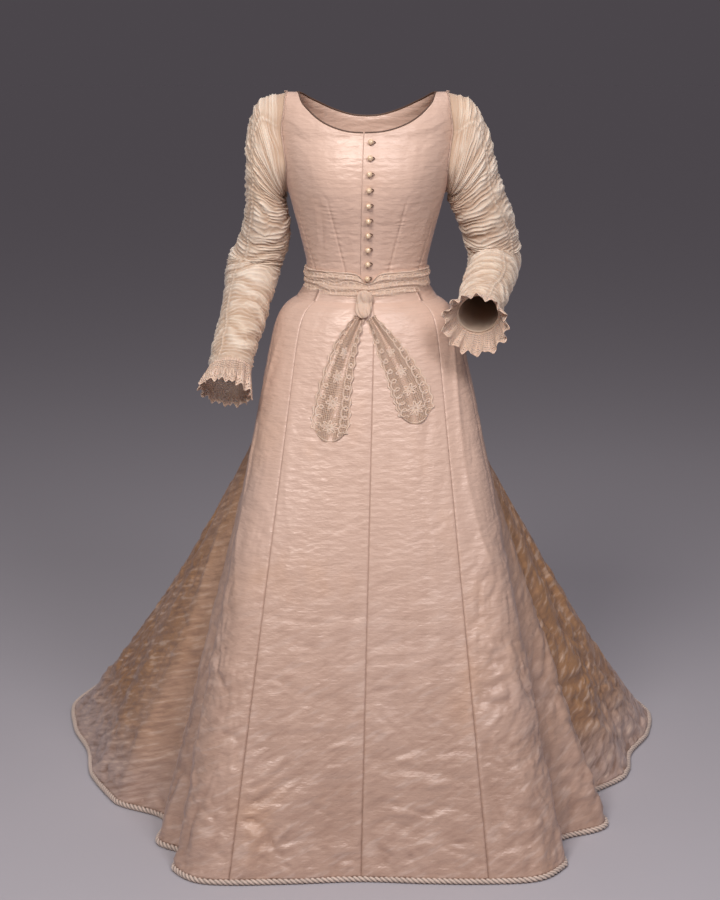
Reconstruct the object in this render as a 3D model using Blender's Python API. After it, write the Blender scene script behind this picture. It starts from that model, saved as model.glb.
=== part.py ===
"""Evening gown of about 1900: blush silk taffeta, gathered chiffon sleeves, tape lace sash.

Metres, Z up, X towards the wearer's left, Y towards the back. Right and left are the wearer's.
Heights in the tables are above the floor. The origin is the middle of the shoulder line,
where the wearer's shoulders hold the gown, so each piece is lowered by SHOULDER_HEIGHT.
"""
import math

import bmesh
import bpy
import numpy as np

# Driving sizes
SHOULDER_HEIGHT = 1.366
WAIST_HEIGHT = 1.030
SASH_TOP = 1.053
SASH_BOTTOM = 1.004
CHEST_HEIGHT = 1.295
NECK_FRONT_HEIGHT = 1.300
NECK_BACK_HEIGHT = 1.318
ARMHOLE_BOTTOM = 1.190
CLOTH = 0.0015
CHIFFON = 0.0010
LACE = 0.0012
SEAM_GAP = 0.0003
ROPE_RADIUS = 0.0052
BINDING_RADIUS = 0.0014
PIPING_RADIUS = 0.0012
BUTTON_RADIUS = 0.0050
BUTTON_COUNT = 10
BUTTON_PITCH = 0.0268
TOP_BUTTON_DROP = 0.016
BUTTON_SET_IN = 0.0125
BALL_SIDES = 8
BALL_RINGS = 6
PIPING_SET_IN = 0.0022
PIPING_POINTS = 24
# The binding: points of each front and of half the back, and its angle back from the opening
BINDING_FRONT_POINTS = 17
BINDING_BACK_POINTS = 11
BINDING_END_GAP = 0.010
# Angle of the front opening to the wearer's right, at the waist and at the neck
OPENING_LEAN = (-0.115, -0.035)

# Torso sections up to the chest: height, half width, front depth, back depth
TORSO_ROWS = (
    (1.000, 0.1090, 0.0950, 0.0840),
    (1.030, 0.1085, 0.0960, 0.0840),
    (1.065, 0.1095, 0.1010, 0.0855),
    (1.100, 0.1175, 0.1090, 0.0890),
    (1.135, 0.1265, 0.1200, 0.0940),
    (1.170, 0.1355, 0.1320, 0.0990),
    (1.205, 0.1450, 0.1380, 0.1025),
    (1.250, 0.1555, 0.1345, 0.1045),
    (1.295, 0.1620, 0.1190, 0.1010),
)
SHOULDER_HALF_WIDTH = 0.1530
# Cloth length from the chest line over the shoulder to its seam
SHOULDER_ARC = 0.130
# Fullness over each side of the bust: place, spread and depth
BUST_ANGLE = 33.0
BUST_SPREAD = 20.0
BUST_HEIGHT = 1.212
BUST_RISE = 0.048
BUST_DEPTH = 0.0060

# Front neckline from the opening to the strap: distance from the middle, height
NECKLINE_ROWS = (
    (0.000, 1.3000),
    (0.030, 1.3020),
    (0.058, 1.3090),
    (0.082, 1.3200),
    (0.102, 1.3350),
    (0.118, 1.3520),
)
STRAP_INNER = 0.1265
STRAP_OUTER = 0.1450
# Front edge of the armhole from the side seam to the strap: distance from the middle, height
ARMHOLE_FRONT_ROWS = (
    (0.1455, 1.1935),
    (0.1435, 1.2080),
    (0.1430, 1.2350),
    (0.1470, 1.2700),
    (0.1510, 1.3050),
    (0.1470, 1.3400),
)
ARMHOLE_BACK_DEPTH = 0.84

# Share of a panel's top edge that is neckline, and of its outer edge that is side seam
NECK_SHARE = 0.84
SIDE_SHARE = 0.50
SIDE_SEAM_ROWS = 6
# Width and length of a bodice panel, which turn the seam gap into a share
PANEL_WIDTH = 0.17
PANEL_LENGTH = 0.34
# Columns of a bodice front: share of the width at the waist and above the darts, and the
# height of the dart's tip where the column is the bottom of a dart
FRONT_COLUMNS = (
    (0.000, 0.000, 0.0),
    (0.055, 0.085, 0.0),
    (0.120, 0.200, 0.0),
    (0.180, 0.325, 0.0),
    (0.200, 0.345, 1.190),
    (0.220, 0.365, 0.0),
    (0.380, 0.490, 0.0),
    (0.560, 0.620, 0.0),
    (0.580, 0.640, 1.165),
    (0.600, 0.660, 0.0),
    (0.800, 0.800, 0.0),
    (1.000, 1.000, 0.0),
)
DART_TOP_SHARE = 0.6
DART_FADE = 0.04
DART_DEPTH = 0.0007
# Columns of each half of the back, from the middle to the side
BACK_COLUMNS = (0.0, 0.14, 0.28, 0.42, 0.55, 0.67, 0.78, 0.86, 0.93, 1.0)

# The skirt, once round from the centre front towards the wearer's left.
# Name, angle at the waist, hem place from the middle (x, y), tuck at the hem, sweep of the fall
SKIRT_ROWS = (
    ("centre_front", 5, -0.011, -0.364, 0.000, 1.00),
    ("left_front", 27, 0.108, -0.372, 0.000, 1.00),
    ("left_front_seam", 50, 0.216, -0.374, 0.000, 1.00),
    ("left_front_turn", 66, 0.306, -0.361, 0.000, 1.00),
    ("left_front_fold", 79, 0.356, -0.306, 0.000, 1.00),
    ("left_front_tuck", 104, 0.398, -0.225, 0.050, 1.00),
    ("left_side_fold", 134, 0.452, -0.130, 0.000, 1.00),
    ("left_side_seam", 143, 0.480, -0.020, 0.055, 1.00),
    ("left_train_fold", 150, 0.520, 0.110, 0.000, 1.00),
    ("left_train_hollow", 156, 0.560, 0.225, 0.014, 1.02),
    ("left_train_wing", 162, 0.598, 0.340, 0.000, 1.06),
    ("left_tip", 168, 0.620, 0.460, 0.000, 1.12),
    ("left_back_seam", 171.5, 0.607, 0.620, 0.028, 1.22),
    ("left_back_fold", 174, 0.538, 0.790, 0.000, 1.38),
    ("left_back_hollow", 176, 0.400, 0.940, 0.034, 1.52),
    ("left_inner_fold", 178, 0.215, 1.040, 0.000, 1.62),
    ("centre_back", 180, 0.000, 1.080, 0.030, 1.66),
    ("right_inner_fold", 181.6, -0.220, 1.055, 0.000, 1.62),
    ("right_back_hollow", 183.2, -0.412, 0.965, 0.034, 1.52),
    ("right_back_fold", 184.8, -0.553, 0.825, 0.000, 1.38),
    ("right_back_seam", 186.5, -0.630, 0.665, 0.028, 1.22),
    ("right_tip", 189, -0.646, 0.510, 0.000, 1.17),
    ("right_train_wing", 194, -0.622, 0.370, 0.000, 1.08),
    ("right_train_hollow", 200, -0.590, 0.240, 0.014, 1.02),
    ("right_train_fold", 207, -0.550, 0.110, 0.000, 1.00),
    ("right_train_front", 216, -0.488, -0.020, 0.000, 1.00),
    ("right_side_seam", 229, -0.425, -0.120, 0.045, 1.00),
    ("right_side_fold", 243, -0.386, -0.205, 0.000, 1.00),
    ("right_front_tuck", 263, -0.366, -0.262, 0.030, 1.00),
    ("right_front_fold", 279, -0.345, -0.322, 0.000, 1.00),
    ("right_front_turn", 297, -0.306, -0.366, 0.000, 1.00),
    ("right_front_seam", 313, -0.245, -0.378, 0.000, 1.00),
    ("right_front", 337, -0.128, -0.373, 0.000, 1.00),
)
# The cone of the skirt carried up to the bottom of the sash, and how fast the hip springs out
CONE_HALF_WIDTH = 0.158
CONE_FRONT = 0.116
CONE_BACK = 0.128
HIP_SPRING = 0.018
TUCK_START_POWER = 1.6
SKIRT_FALLS = (0.0, 0.018, 0.045, 0.09, 0.17, 0.28, 0.41, 0.55, 0.70, 0.86, 1.0)
COLUMNS_PER_SKIRT_ROW = 2.5
# Each gore is drawn in from its seams by this much; the rope's ring and the small steps
# along u that give its direction
GORE_INSET = 0.00018
ROPE_SIDES = 8
HEM_STEP = 0.05

# Sleeve sections: outer edge (x, height), inner edge (x, height), place along y, half depth.
# The first section is the armhole itself. Distances are outwards from the middle.
RIGHT_SLEEVE_ROWS = (
    (0.170, 1.372, 0.1500, 1.187, 0.000, 0.054),
    (0.194, 1.352, 0.1535, 1.184, 0.000, 0.056),
    (0.214, 1.295, 0.1540, 1.177, 0.002, 0.052),
    (0.217, 1.220, 0.1510, 1.165, 0.006, 0.047),
    (0.221, 1.150, 0.1450, 1.132, 0.014, 0.045),
    (0.235, 1.100, 0.1500, 1.088, 0.030, 0.046),
    (0.257, 1.055, 0.1620, 1.048, 0.038, 0.048),
    (0.261, 1.005, 0.1780, 1.000, 0.012, 0.044),
    (0.268, 0.955, 0.1900, 0.955, -0.028, 0.041),
    (0.277, 0.915, 0.2035, 0.918, -0.062, 0.038),
    (0.284, 0.875, 0.2130, 0.879, -0.095, 0.036),
)
LEFT_SLEEVE_ROWS = (
    (0.168, 1.372, 0.1500, 1.187, 0.000, 0.054),
    (0.190, 1.352, 0.1535, 1.184, 0.000, 0.056),
    (0.216, 1.300, 0.1545, 1.178, 0.002, 0.052),
    (0.236, 1.228, 0.1560, 1.165, 0.008, 0.048),
    (0.260, 1.162, 0.1720, 1.130, 0.022, 0.046),
    (0.276, 1.108, 0.1880, 1.085, 0.045, 0.047),
    (0.283, 1.068, 0.1950, 1.050, 0.052, 0.047),
    (0.275, 1.044, 0.1880, 1.034, 0.010, 0.044),
    (0.261, 1.022, 0.1780, 1.018, -0.045, 0.041),
    (0.246, 1.003, 0.1690, 1.001, -0.100, 0.038),
    (0.233, 0.986, 0.1620, 0.985, -0.148, 0.036),
)
SLEEVE_SIDES = 12
SLEEVE_GATHERS = 30
GATHER_DEPTH = 0.0030
# Outer rings for each ring of the plainer inner wall
SLEEVE_INNER_STEP = 4
# Solids of each sleeve, so that its collision stays hollow: ending of the name, first and last ring
RIGHT_SLEEVE_SPANS = (("_head", 0, 20), ("_upper", 20, 28), ("_lower", 28, 44),
                      ("_wrist", 44, 2 * SLEEVE_GATHERS))
LEFT_SLEEVE_SPANS = (("_head", 0, 16), ("_upper", 16, 28), ("_lower", 28, 2 * SLEEVE_GATHERS))
# The head: its share of the length, how far it lies inside the armhole edge, how fast that
# fades, and where the draw round the ring begins to fade
SLEEVE_HEAD_SHARE = 0.14
SLEEVE_SET_IN = 0.0019
SET_IN_FADE = 1.4
RING_FADE_START = 0.2

# Cuff frills: length along the arm, radius at the edge, height of the waves
RIGHT_CUFF = (0.042, 0.046, 0.0045)
LEFT_CUFF = (0.036, 0.056, 0.0050)
CUFF_WAVES = 13
CUFF_RINGS = (0.0, 0.3, 0.65, 1.0)
CUFF_START_RADIUS = 0.036
CUFF_EASE = 0.002
CUFF_SCALLOP = 0.003
# Where along the sleeve the run of the wrist is read
WRIST_SHARE = 0.94

# Sash tails down the skirt front: distance from the middle, height, half width
RIGHT_TAIL_ROWS = (
    (-0.0135, 0.973, 0.0085),
    (-0.036, 0.925, 0.020),
    (-0.054, 0.860, 0.028),
    (-0.064, 0.800, 0.034),
    (-0.070, 0.757, 0.030),
)
LEFT_TAIL_ROWS = (
    (0.0065, 0.973, 0.0085),
    (0.036, 0.925, 0.022),
    (0.064, 0.872, 0.031),
    (0.082, 0.830, 0.034),
    (0.092, 0.788, 0.029),
)
TAIL_ROWS = 22
TAIL_COLUMNS = 9
TAIL_LIFT = 0.0006
TAIL_FOLD = 0.0034
TAIL_FOLD_TURN = 6.5
TAIL_FOLD_DRIFT = 2.0
TAIL_FOLD_LOSS = 0.6
TAIL_SCALLOP = 0.0022
TAIL_SCALLOP_TURN = 34.0
# The rounded end: where it begins, and how far its corners are drawn up
TAIL_END_SHARE = 0.88
TAIL_END_RISE = 0.022
# First row of the open lace, and rows and columns from one gap to the next
TAIL_OPEN_ROW = 10
TAIL_GAP_ROWS = 2
TAIL_GAP_COLUMNS = 3

# Sash band: folds, how far its lower edge lies above the waist join, sag at the front, and
# the dip of the upper edge at the last button (depth, spread as an angle, place as an angle)
SASH_FOLDS = 3
SASH_COLUMNS = 36
SASH_LIFT = 0.0035
SASH_SAG = 0.0015
SASH_DIP = 0.021
SASH_DIP_SPREAD = 0.13
SASH_DIP_ANGLE = 0.02
SASH_EASE = 0.0011
SASH_FLARE = 0.0010
SASH_RIDGE = 0.0022
SASH_HOLLOW = 0.0004

# The knot: place of its middle (x, height), half sizes, its waist and its gap to the band
KNOT_CENTRE = (-0.006, 0.9985)
KNOT_HALF_SIZES = (0.0165, 0.0085, 0.0240)
KNOT_PINCH = 0.82
KNOT_STAND_OFF = 0.0018
KNOT_CLEARANCE = 0.0004
KNOT_SIDES = 12
KNOT_RINGS = 8

# Finishes: colour, roughness
FINISHES = {
    "silk taffeta": ((0.62, 0.43, 0.36, 1.0), 0.42),
    "silk chiffon": ((0.70, 0.60, 0.46, 1.0), 0.80),
    "tape lace": ((0.56, 0.43, 0.34, 1.0), 0.85),
    "dark silk": ((0.16, 0.09, 0.06, 1.0), 0.60),
    "pearl": ((0.86, 0.78, 0.66, 1.0), 0.18),
    "silk cord": ((0.66, 0.50, 0.42, 1.0), 0.55),
}


def smooth(keys, values, at):
    """Cubic curve through (keys, values), read at the places `at`; ends run straight."""
    keys = np.asarray(keys, float)
    values = np.asarray(values, float)
    at = np.clip(np.asarray(at, float), keys[0], keys[-1])
    steps = np.diff(keys)
    slopes = np.diff(values) / steps
    inner = (slopes[:-1] * steps[1:] + slopes[1:] * steps[:-1]) / (steps[:-1] + steps[1:])
    tangents = np.concatenate([slopes[:1], inner, slopes[-1:]])
    k = np.clip(np.searchsorted(keys, at, side="right") - 1, 0, len(keys) - 2)
    t = (at - keys[k]) / steps[k]
    rise = values[k] * (1 + 2 * t) * (1 - t) ** 2 + values[k + 1] * t * t * (3 - 2 * t)
    lean = tangents[k] * t * (1 - t) ** 2 - tangents[k + 1] * t * t * (1 - t)
    return rise + steps[k] * lean


def smooth_ring(values, at):
    """Closed cubic curve through evenly numbered values, read at the places `at`."""
    values = np.asarray(values, float)
    count = len(values)
    first = np.floor(at).astype(int)
    t = at - first
    a, b, c, d = (values[(first + shift) % count] for shift in (-1, 0, 1, 2))
    bend = 2 * a - 5 * b + 4 * c - d
    return 0.5 * (2 * b + (c - a) * t + bend * t * t + (3 * b - a - 3 * c + d) * t ** 3)


def across_and_along(surface, u, v, step):
    """The two tangents of surface(u, v) by small steps each way."""
    across = surface(u + step, v) - surface(u - step, v)
    along = surface(u, v + step) - surface(u, v - step)
    return across, along


def unit(vectors):
    """Each vector divided by its length."""
    return vectors / np.maximum(np.linalg.norm(vectors, axis=-1, keepdims=True), 1e-12)


def finish_material(node, finish):
    """The node's own Principled material in the named finish."""
    colour, roughness = FINISHES[finish]
    material = bpy.data.materials.new(node + " " + finish)
    material.use_nodes = True
    shader = material.node_tree.nodes["Principled BSDF"]
    shader.inputs["Base Color"].default_value = colour
    shader.inputs["Roughness"].default_value = roughness
    shader.inputs["Metallic"].default_value = 0.0
    material.diffuse_color = colour
    return material


def add_piece(name, points, faces, finish):
    """One closed body from points (above the floor) and faces, turned to face outwards."""
    points = np.asarray(points, float) - (0.0, 0.0, SHOULDER_HEIGHT)
    mesh = bpy.data.meshes.new(name)
    mesh.from_pydata(points.tolist(), [], faces)
    solid = bmesh.new()
    solid.from_mesh(mesh)
    bmesh.ops.triangulate(solid, faces=solid.faces)
    if solid.calc_volume(signed=True) < 0.0:
        bmesh.ops.reverse_faces(solid, faces=solid.faces)
    solid.to_mesh(mesh)
    solid.free()
    mesh.shade_smooth()
    mesh.set_sharp_from_angle(angle=math.radians(40.0))
    mesh.materials.append(finish_material(name, finish))
    piece = bpy.data.objects.new(name, mesh)
    bpy.context.scene.collection.objects.link(piece)
    return piece


def grid_faces(rows, columns, start, wrap, keep=None):
    """Quads of a grid of points numbered row by row from `start`."""
    faces = []
    for i in range(rows - 1):
        for j in range(columns if wrap else columns - 1):
            if keep is not None and not keep[i][j]:
                continue
            k = (j + 1) % columns
            faces.append((start + i * columns + j, start + i * columns + k,
                          start + (i + 1) * columns + k, start + (i + 1) * columns + j))
    return faces


def wall_faces(rows, columns, wrap=False, keep=None):
    """Faces of a closed wall: outer grid, inner grid turned round, and each free edge joined.

    An edge that only one quad of the outer grid uses is a free edge, also round a cut gap.
    """
    outer = grid_faces(rows, columns, 0, wrap, keep)
    shift = rows * columns
    inner = [tuple(p + shift for p in reversed(face)) for face in outer]
    edges = {}
    for face in outer:
        for a, b in zip(face, face[1:] + face[:1]):
            edges[(a, b)] = True
    rims = [(b, a, a + shift, b + shift) for a, b in edges if (b, a) not in edges]
    return outer + inner + rims


def add_wall(name, outer, inner, finish, wrap=False, keep=None):
    """A closed cloth wall between two grids of points of the same shape."""
    rows, columns = outer.shape[:2]
    points = np.concatenate([outer.reshape(-1, 3), inner.reshape(-1, 3)])
    faces = wall_faces(rows, columns, wrap, keep)
    used = sorted({p for face in faces for p in face})
    number = {old: new for new, old in enumerate(used)}
    faces = [tuple(number[p] for p in face) for face in faces]
    return add_piece(name, points[used], faces, finish)


def tube_points(path, along, outwards, radius, sides):
    """Rings of points round a path, each square to the path's direction there."""
    side = unit(np.cross(along, outwards))
    over = np.cross(side, along)
    turn = 2 * np.pi * (np.arange(sides) + 0.5) / sides
    ring = side[:, None] * np.cos(turn)[:, None] + over[:, None] * np.sin(turn)[:, None]
    return (path[:, None] + radius * ring).reshape(-1, 3)


def add_tube(name, path, radius, finish, sides=6, ends=None):
    """A tube along a path of points; `ends` may give the two end directions."""
    along = unit(np.gradient(path, axis=0))
    if ends is not None:
        along[0], along[-1] = ends
    points = tube_points(path, along, np.array([0.0, 0.0, 1.0]), radius, sides)
    rows = len(path)
    faces = grid_faces(rows, sides, 0, True)
    faces.append(tuple(reversed(range(sides))))
    faces.append(tuple(range((rows - 1) * sides, rows * sides)))
    return add_piece(name, points, faces, finish)


# The torso: cloth coordinates are the angle from the front and the girth height, which is the
# height above the floor up to the chest and the cloth length over the shoulder above it.

GIRTH_TOP = CHEST_HEIGHT + SHOULDER_ARC
# Rows of a bodice panel: up the side seam, then one for each corner of the sleeve's ring
PANEL_ROWS = np.concatenate([
    np.linspace(0.0, SIDE_SHARE, SIDE_SEAM_ROWS),
    SIDE_SHARE + (1 - SIDE_SHARE) * np.arange(1, SLEEVE_SIDES // 2 + 1) * 2 / SLEEVE_SIDES])


def torso_section(girth):
    """Half width, front depth, back depth and height at a girth height."""
    heights, widths, fronts, backs = np.array(TORSO_ROWS).T
    turn = np.clip((girth - CHEST_HEIGHT) / SHOULDER_ARC, 0.0, 1.0) * np.pi / 2
    width = smooth(heights, widths, girth)
    width = width + (SHOULDER_HALF_WIDTH - widths[-1]) * (1 - np.cos(turn))
    front = smooth(heights, fronts, girth) * np.cos(turn)
    back = smooth(heights, backs, girth) * np.cos(turn)
    rise = (SHOULDER_HEIGHT - CHEST_HEIGHT) * np.sin(turn)
    return width, front, back, np.minimum(girth, CHEST_HEIGHT) + rise


def torso(angle, girth):
    """A point of the torso: an ellipse with its own front and back depth at each height."""
    width, front, back, height = torso_section(girth)
    swell = np.exp(-((np.abs(angle) - math.radians(BUST_ANGLE)) / math.radians(BUST_SPREAD)) ** 2)
    swell = swell * np.exp(-((girth - BUST_HEIGHT) / BUST_RISE) ** 2)
    depth = np.where(np.cos(angle) > 0, front + BUST_DEPTH * swell, back)
    return np.stack([width * np.sin(angle), -depth * np.cos(angle), height], -1)


def torso_normal(angle, girth):
    """The outward direction of the torso at a cloth coordinate."""
    girth = np.minimum(girth, GIRTH_TOP - 0.002)
    across, along = across_and_along(torso, angle, girth, 1e-4)
    return unit(np.cross(across, along))


def on_torso(angle, girth, lift):
    """A point moved out from the torso by `lift`."""
    return torso(angle, girth) + torso_normal(angle, girth) * np.asarray(lift)[..., None]


def girth_of(height):
    """Girth height of a height above the floor."""
    share = np.clip((height - CHEST_HEIGHT) / (SHOULDER_HEIGHT - CHEST_HEIGHT), 0.0, 1.0)
    return np.minimum(height, CHEST_HEIGHT) + SHOULDER_ARC * np.arcsin(share) * 2 / np.pi


def angle_of(distance, girth):
    """Angle from the front of a distance from the middle."""
    width = torso_section(girth)[0]
    return np.arcsin(np.clip(distance / width, -1.0, 1.0))


def neckline(share):
    """Front neckline from the middle (0) to the inner strap (1), as angle and girth."""
    rows = np.array(NECKLINE_ROWS)
    places = np.append(rows[:, 0], STRAP_INNER)
    girths = np.append(girth_of(rows[:, 1]), GIRTH_TOP)
    keys = np.linspace(0.0, 1.0, len(places))
    girth = smooth(keys, girths, share)
    return angle_of(smooth(keys, places, share), girth), girth


def armhole_front(share):
    """Front edge of the armhole from the side seam (0) to the outer strap (1)."""
    rows = np.array(ARMHOLE_FRONT_ROWS)
    girths = girth_of(rows[:, 1])
    angles = angle_of(rows[:, 0], girths)
    angles = np.concatenate([[np.pi / 2], angles[1:], [angle_of(STRAP_OUTER, GIRTH_TOP)]])
    girths = np.concatenate([[ARMHOLE_BOTTOM], girths[1:], [GIRTH_TOP]])
    keys = np.linspace(0.0, 1.0, len(girths))
    return smooth(keys, angles, share), smooth(keys, girths, share)


def armhole_back(share):
    """Back edge of the armhole, a little less scooped than the front."""
    angle, girth = armhole_front(share)
    return np.pi - (np.pi / 2 + (angle - np.pi / 2) * ARMHOLE_BACK_DEPTH), girth


def opening_angle(girth):
    """The front opening lies a little to the wearer's right, more so at the waist."""
    share = (girth - WAIST_HEIGHT) / (NECK_FRONT_HEIGHT - WAIST_HEIGHT)
    return OPENING_LEAN[0] + (OPENING_LEAN[1] - OPENING_LEAN[0]) * np.clip(share, 0, 1)


def panel_coordinates(u, v, side, is_back):
    """Cloth coordinates of a bodice panel by a Coons patch between its four edges.

    u runs from the middle to the side seam and armhole, v from the waist to the neck and strap.
    The patch is the blend of opposite edges less the blend of the four corners.
    """
    neck_start = NECK_BACK_HEIGHT if is_back else NECK_FRONT_HEIGHT

    def top(s):
        neck = np.clip(s / NECK_SHARE, 0, 1)
        angle, girth = neckline(neck)
        if is_back:
            drop = (girth - NECK_FRONT_HEIGHT) / (GIRTH_TOP - NECK_FRONT_HEIGHT)
            start = girth_of(neck_start)
            girth = start + (GIRTH_TOP - start) * np.clip(drop, 0, 1)
            angle = angle_of(STRAP_INNER * neck, girth)
        inner = angle_of(STRAP_INNER, GIRTH_TOP)
        outer = angle_of(STRAP_OUTER, GIRTH_TOP)
        end = np.clip((s - NECK_SHARE) / (1 - NECK_SHARE), 0, 1)
        strap = inner + (outer - inner) * end
        angle = np.where(s > NECK_SHARE, strap, angle)
        return angle, np.where(s > NECK_SHARE, GIRTH_TOP, girth)

    def edge(s):
        seam = np.clip(s / SIDE_SHARE, 0, 1)
        angle, girth = armhole_front(np.clip((s - SIDE_SHARE) / (1 - SIDE_SHARE), 0, 1))
        if is_back:
            angle = np.pi / 2 + (angle - np.pi / 2) * ARMHOLE_BACK_DEPTH
        low = WAIST_HEIGHT + (ARMHOLE_BOTTOM - WAIST_HEIGHT) * seam
        return np.where(s > SIDE_SHARE, angle, np.pi / 2), np.where(s > SIDE_SHARE, girth, low)

    top_angle, top_girth = top(u)
    edge_angle, edge_girth = edge(v)
    middle_girth = WAIST_HEIGHT + (girth_of(neck_start) - WAIST_HEIGHT) * v
    corner_angle, corner_girth = top(np.ones(1))
    bottom_angle = u * np.pi / 2
    angle = (1 - v) * bottom_angle + v * top_angle + u * edge_angle
    angle = angle - u * (1 - v) * np.pi / 2 - u * v * corner_angle
    girth = (1 - v) * WAIST_HEIGHT + v * top_girth + (1 - u) * middle_girth + u * edge_girth
    girth = girth - (1 - v) * WAIST_HEIGHT - (1 - u) * v * girth_of(neck_start)
    girth = girth - u * v * corner_girth
    if is_back:
        return np.pi - side * angle, girth
    shift = opening_angle(girth) * (1 - u) ** 2
    return side * angle + shift, girth


def inset(values, first_gap, last_gap):
    """Shares from 0 to 1 drawn in at both ends by small gaps."""
    return first_gap + values * (1 - first_gap - last_gap)


def make_bodice_front(side, name):
    """One front with two darts: the columns follow the darts, which are shallow grooves."""
    low, high, tips = np.array(FRONT_COLUMNS).T
    v = np.repeat(PANEL_ROWS[:, None], len(low), axis=1)
    u = low + (high - low) * np.clip(v / DART_TOP_SHARE, 0, 1)
    u = inset(u, SEAM_GAP / 2 / PANEL_WIDTH, SEAM_GAP / 2 / PANEL_WIDTH)
    v = inset(v, 0.0, SEAM_GAP / 2 / PANEL_LENGTH)
    angle, girth = panel_coordinates(u, v, side, False)
    dart = DART_DEPTH * np.clip((tips - girth) / DART_FADE, 0, 1)
    outer = on_torso(angle, girth, CLOTH - dart)
    add_wall(name, outer, on_torso(angle, girth, 0 * dart), "silk taffeta")


def make_bodice_back():
    """The back in one piece from side seam to side seam: two half patches joined at the middle."""
    v, u = np.meshgrid(PANEL_ROWS, np.array(BACK_COLUMNS), indexing="ij")
    u = inset(u, 0.0, SEAM_GAP / 2 / PANEL_WIDTH)
    v = inset(v, 0.0, SEAM_GAP / 2 / PANEL_LENGTH)
    left_angle, left_girth = panel_coordinates(u, v, 1, True)
    right_angle, right_girth = panel_coordinates(u, v, -1, True)
    angle = np.concatenate([left_angle[:, ::-1], right_angle[:, 1:]], axis=1)
    girth = np.concatenate([left_girth[:, ::-1], right_girth[:, 1:]], axis=1)
    lift = np.full(angle.shape, CLOTH)
    outer = on_torso(angle, girth, lift)
    add_wall("bodice_back", outer, on_torso(angle, girth, 0 * lift), "silk taffeta")


# The skirt: u counts the rows of SKIRT_ROWS round the figure, s falls from the sash to the hem.

SKIRT_NAMES = [row[0] for row in SKIRT_ROWS]
SKIRT_VALUES = np.array([row[1:] for row in SKIRT_ROWS], float)
SKIRT_COUNT = len(SKIRT_ROWS)


def waist_angle(u):
    """Angle at the waist: the rows' angles, which go once round, as a smooth growing curve."""
    turns = np.floor(u / SKIRT_COUNT)
    keys = np.arange(-1, SKIRT_COUNT + 2)
    angles = SKIRT_VALUES[:, 0]
    values = np.concatenate([[angles[-1] - 360], angles, [angles[0] + 360, angles[1] + 360]])
    return np.radians(smooth(keys, values, u - turns * SKIRT_COUNT) + 360 * turns)


def skirt(u, s):
    """A point of the skirt: straight from a virtual waist to the hem, pulled in at the waist.

    Each u has a straight line from an ellipse at the sash bottom to the hem curve. The tuck
    draws it in along the hem's inward direction, growing with the fall, and the pull to the
    real waist dies away with depth below the sash.
    """
    angle = waist_angle(u)
    x, y, tuck, sweep = (smooth_ring(SKIRT_VALUES[:, k], u) for k in (1, 2, 3, 4))
    before = u - HEM_STEP
    after = u + HEM_STEP
    edge_x = smooth_ring(SKIRT_VALUES[:, 1], after) - smooth_ring(SKIRT_VALUES[:, 1], before)
    edge_y = smooth_ring(SKIRT_VALUES[:, 2], after) - smooth_ring(SKIRT_VALUES[:, 2], before)
    length = np.hypot(edge_x, edge_y)
    pull = np.maximum(tuck, 0.0) * np.clip(s, 0, 1) ** TUCK_START_POWER
    depth = np.where(np.cos(angle) > 0, CONE_FRONT, CONE_BACK)
    top_x = CONE_HALF_WIDTH * np.sin(angle)
    top_y = -depth * np.cos(angle)
    height = ROPE_RADIUS + (SASH_BOTTOM - ROPE_RADIUS) * np.clip(1 - s, 0, None) ** sweep
    drop = np.maximum(SASH_BOTTOM - height, 0.0)
    waist = torso(angle, np.full_like(angle, SASH_BOTTOM))
    grip = np.exp(-drop / HIP_SPRING)
    across = top_x * (1 - s) + x * s + (waist[..., 0] - top_x) * grip - pull * edge_y / length
    back = top_y * (1 - s) + y * s + (waist[..., 1] - top_y) * grip + pull * edge_x / length
    return np.stack([across, back, height], -1)


def skirt_normal(u, s):
    """Outward direction of the skirt, from small steps each way."""
    step = 1e-3
    low = np.clip(s, 0.002, 0.995)
    across, along = across_and_along(skirt, u, low, step)
    return unit(np.cross(along, across))


def cloth_grid(u, falls):
    """Middle surface of the skirt on a grid, with its last row drawn up to the rope's top."""
    columns, rows = np.meshgrid(u, falls)
    middle = skirt(columns, rows)
    normal = skirt_normal(columns, rows)
    down = unit(skirt(u, np.full_like(u, 0.995)) - skirt(u, np.full_like(u, 0.985)))
    middle[-1] = middle[-1] - down * (ROPE_RADIUS + 3 * SEAM_GAP)
    waist = torso(waist_angle(u), np.full_like(u, WAIST_HEIGHT - SEAM_GAP))
    waist_normal = torso_normal(waist_angle(u), np.full_like(u, WAIST_HEIGHT))
    middle = np.concatenate([waist[None], middle])
    normal = np.concatenate([waist_normal[None], normal])
    normal[1] = waist_normal
    return middle, normal


def seam_place(name):
    """Where a named row of the skirt lies along u."""
    return SKIRT_NAMES.index(name)


# Name, first seam, last seam, and the column where the solid of a folded gore is divided, or 0
GORES = (
    ("left_front", "centre_front", "left_front_seam", 0),
    ("left_side", "left_front_seam", "left_side_seam", 7),
    ("left_side_back", "left_side_seam", "left_back_seam", 6),
    ("left_back", "left_back_seam", "centre_back", 5),
    ("right_back", "centre_back", "right_back_seam", 5),
    ("right_side_back", "right_back_seam", "right_side_seam", 8),
    ("right_side", "right_side_seam", "right_front_seam", 5),
    ("right_front", "right_front_seam", "centre_front", 0),
)


def gore_spans(name, divide, columns):
    """The columns of a gore's solids: all in one, or its two parts, named from front to back."""
    if not divide:
        return (("", 0, columns),)
    first, second = ("_fore", "_rear") if name.startswith("left") else ("_rear", "_fore")
    return ((first, 0, divide + 1), (second, divide, columns))


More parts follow.
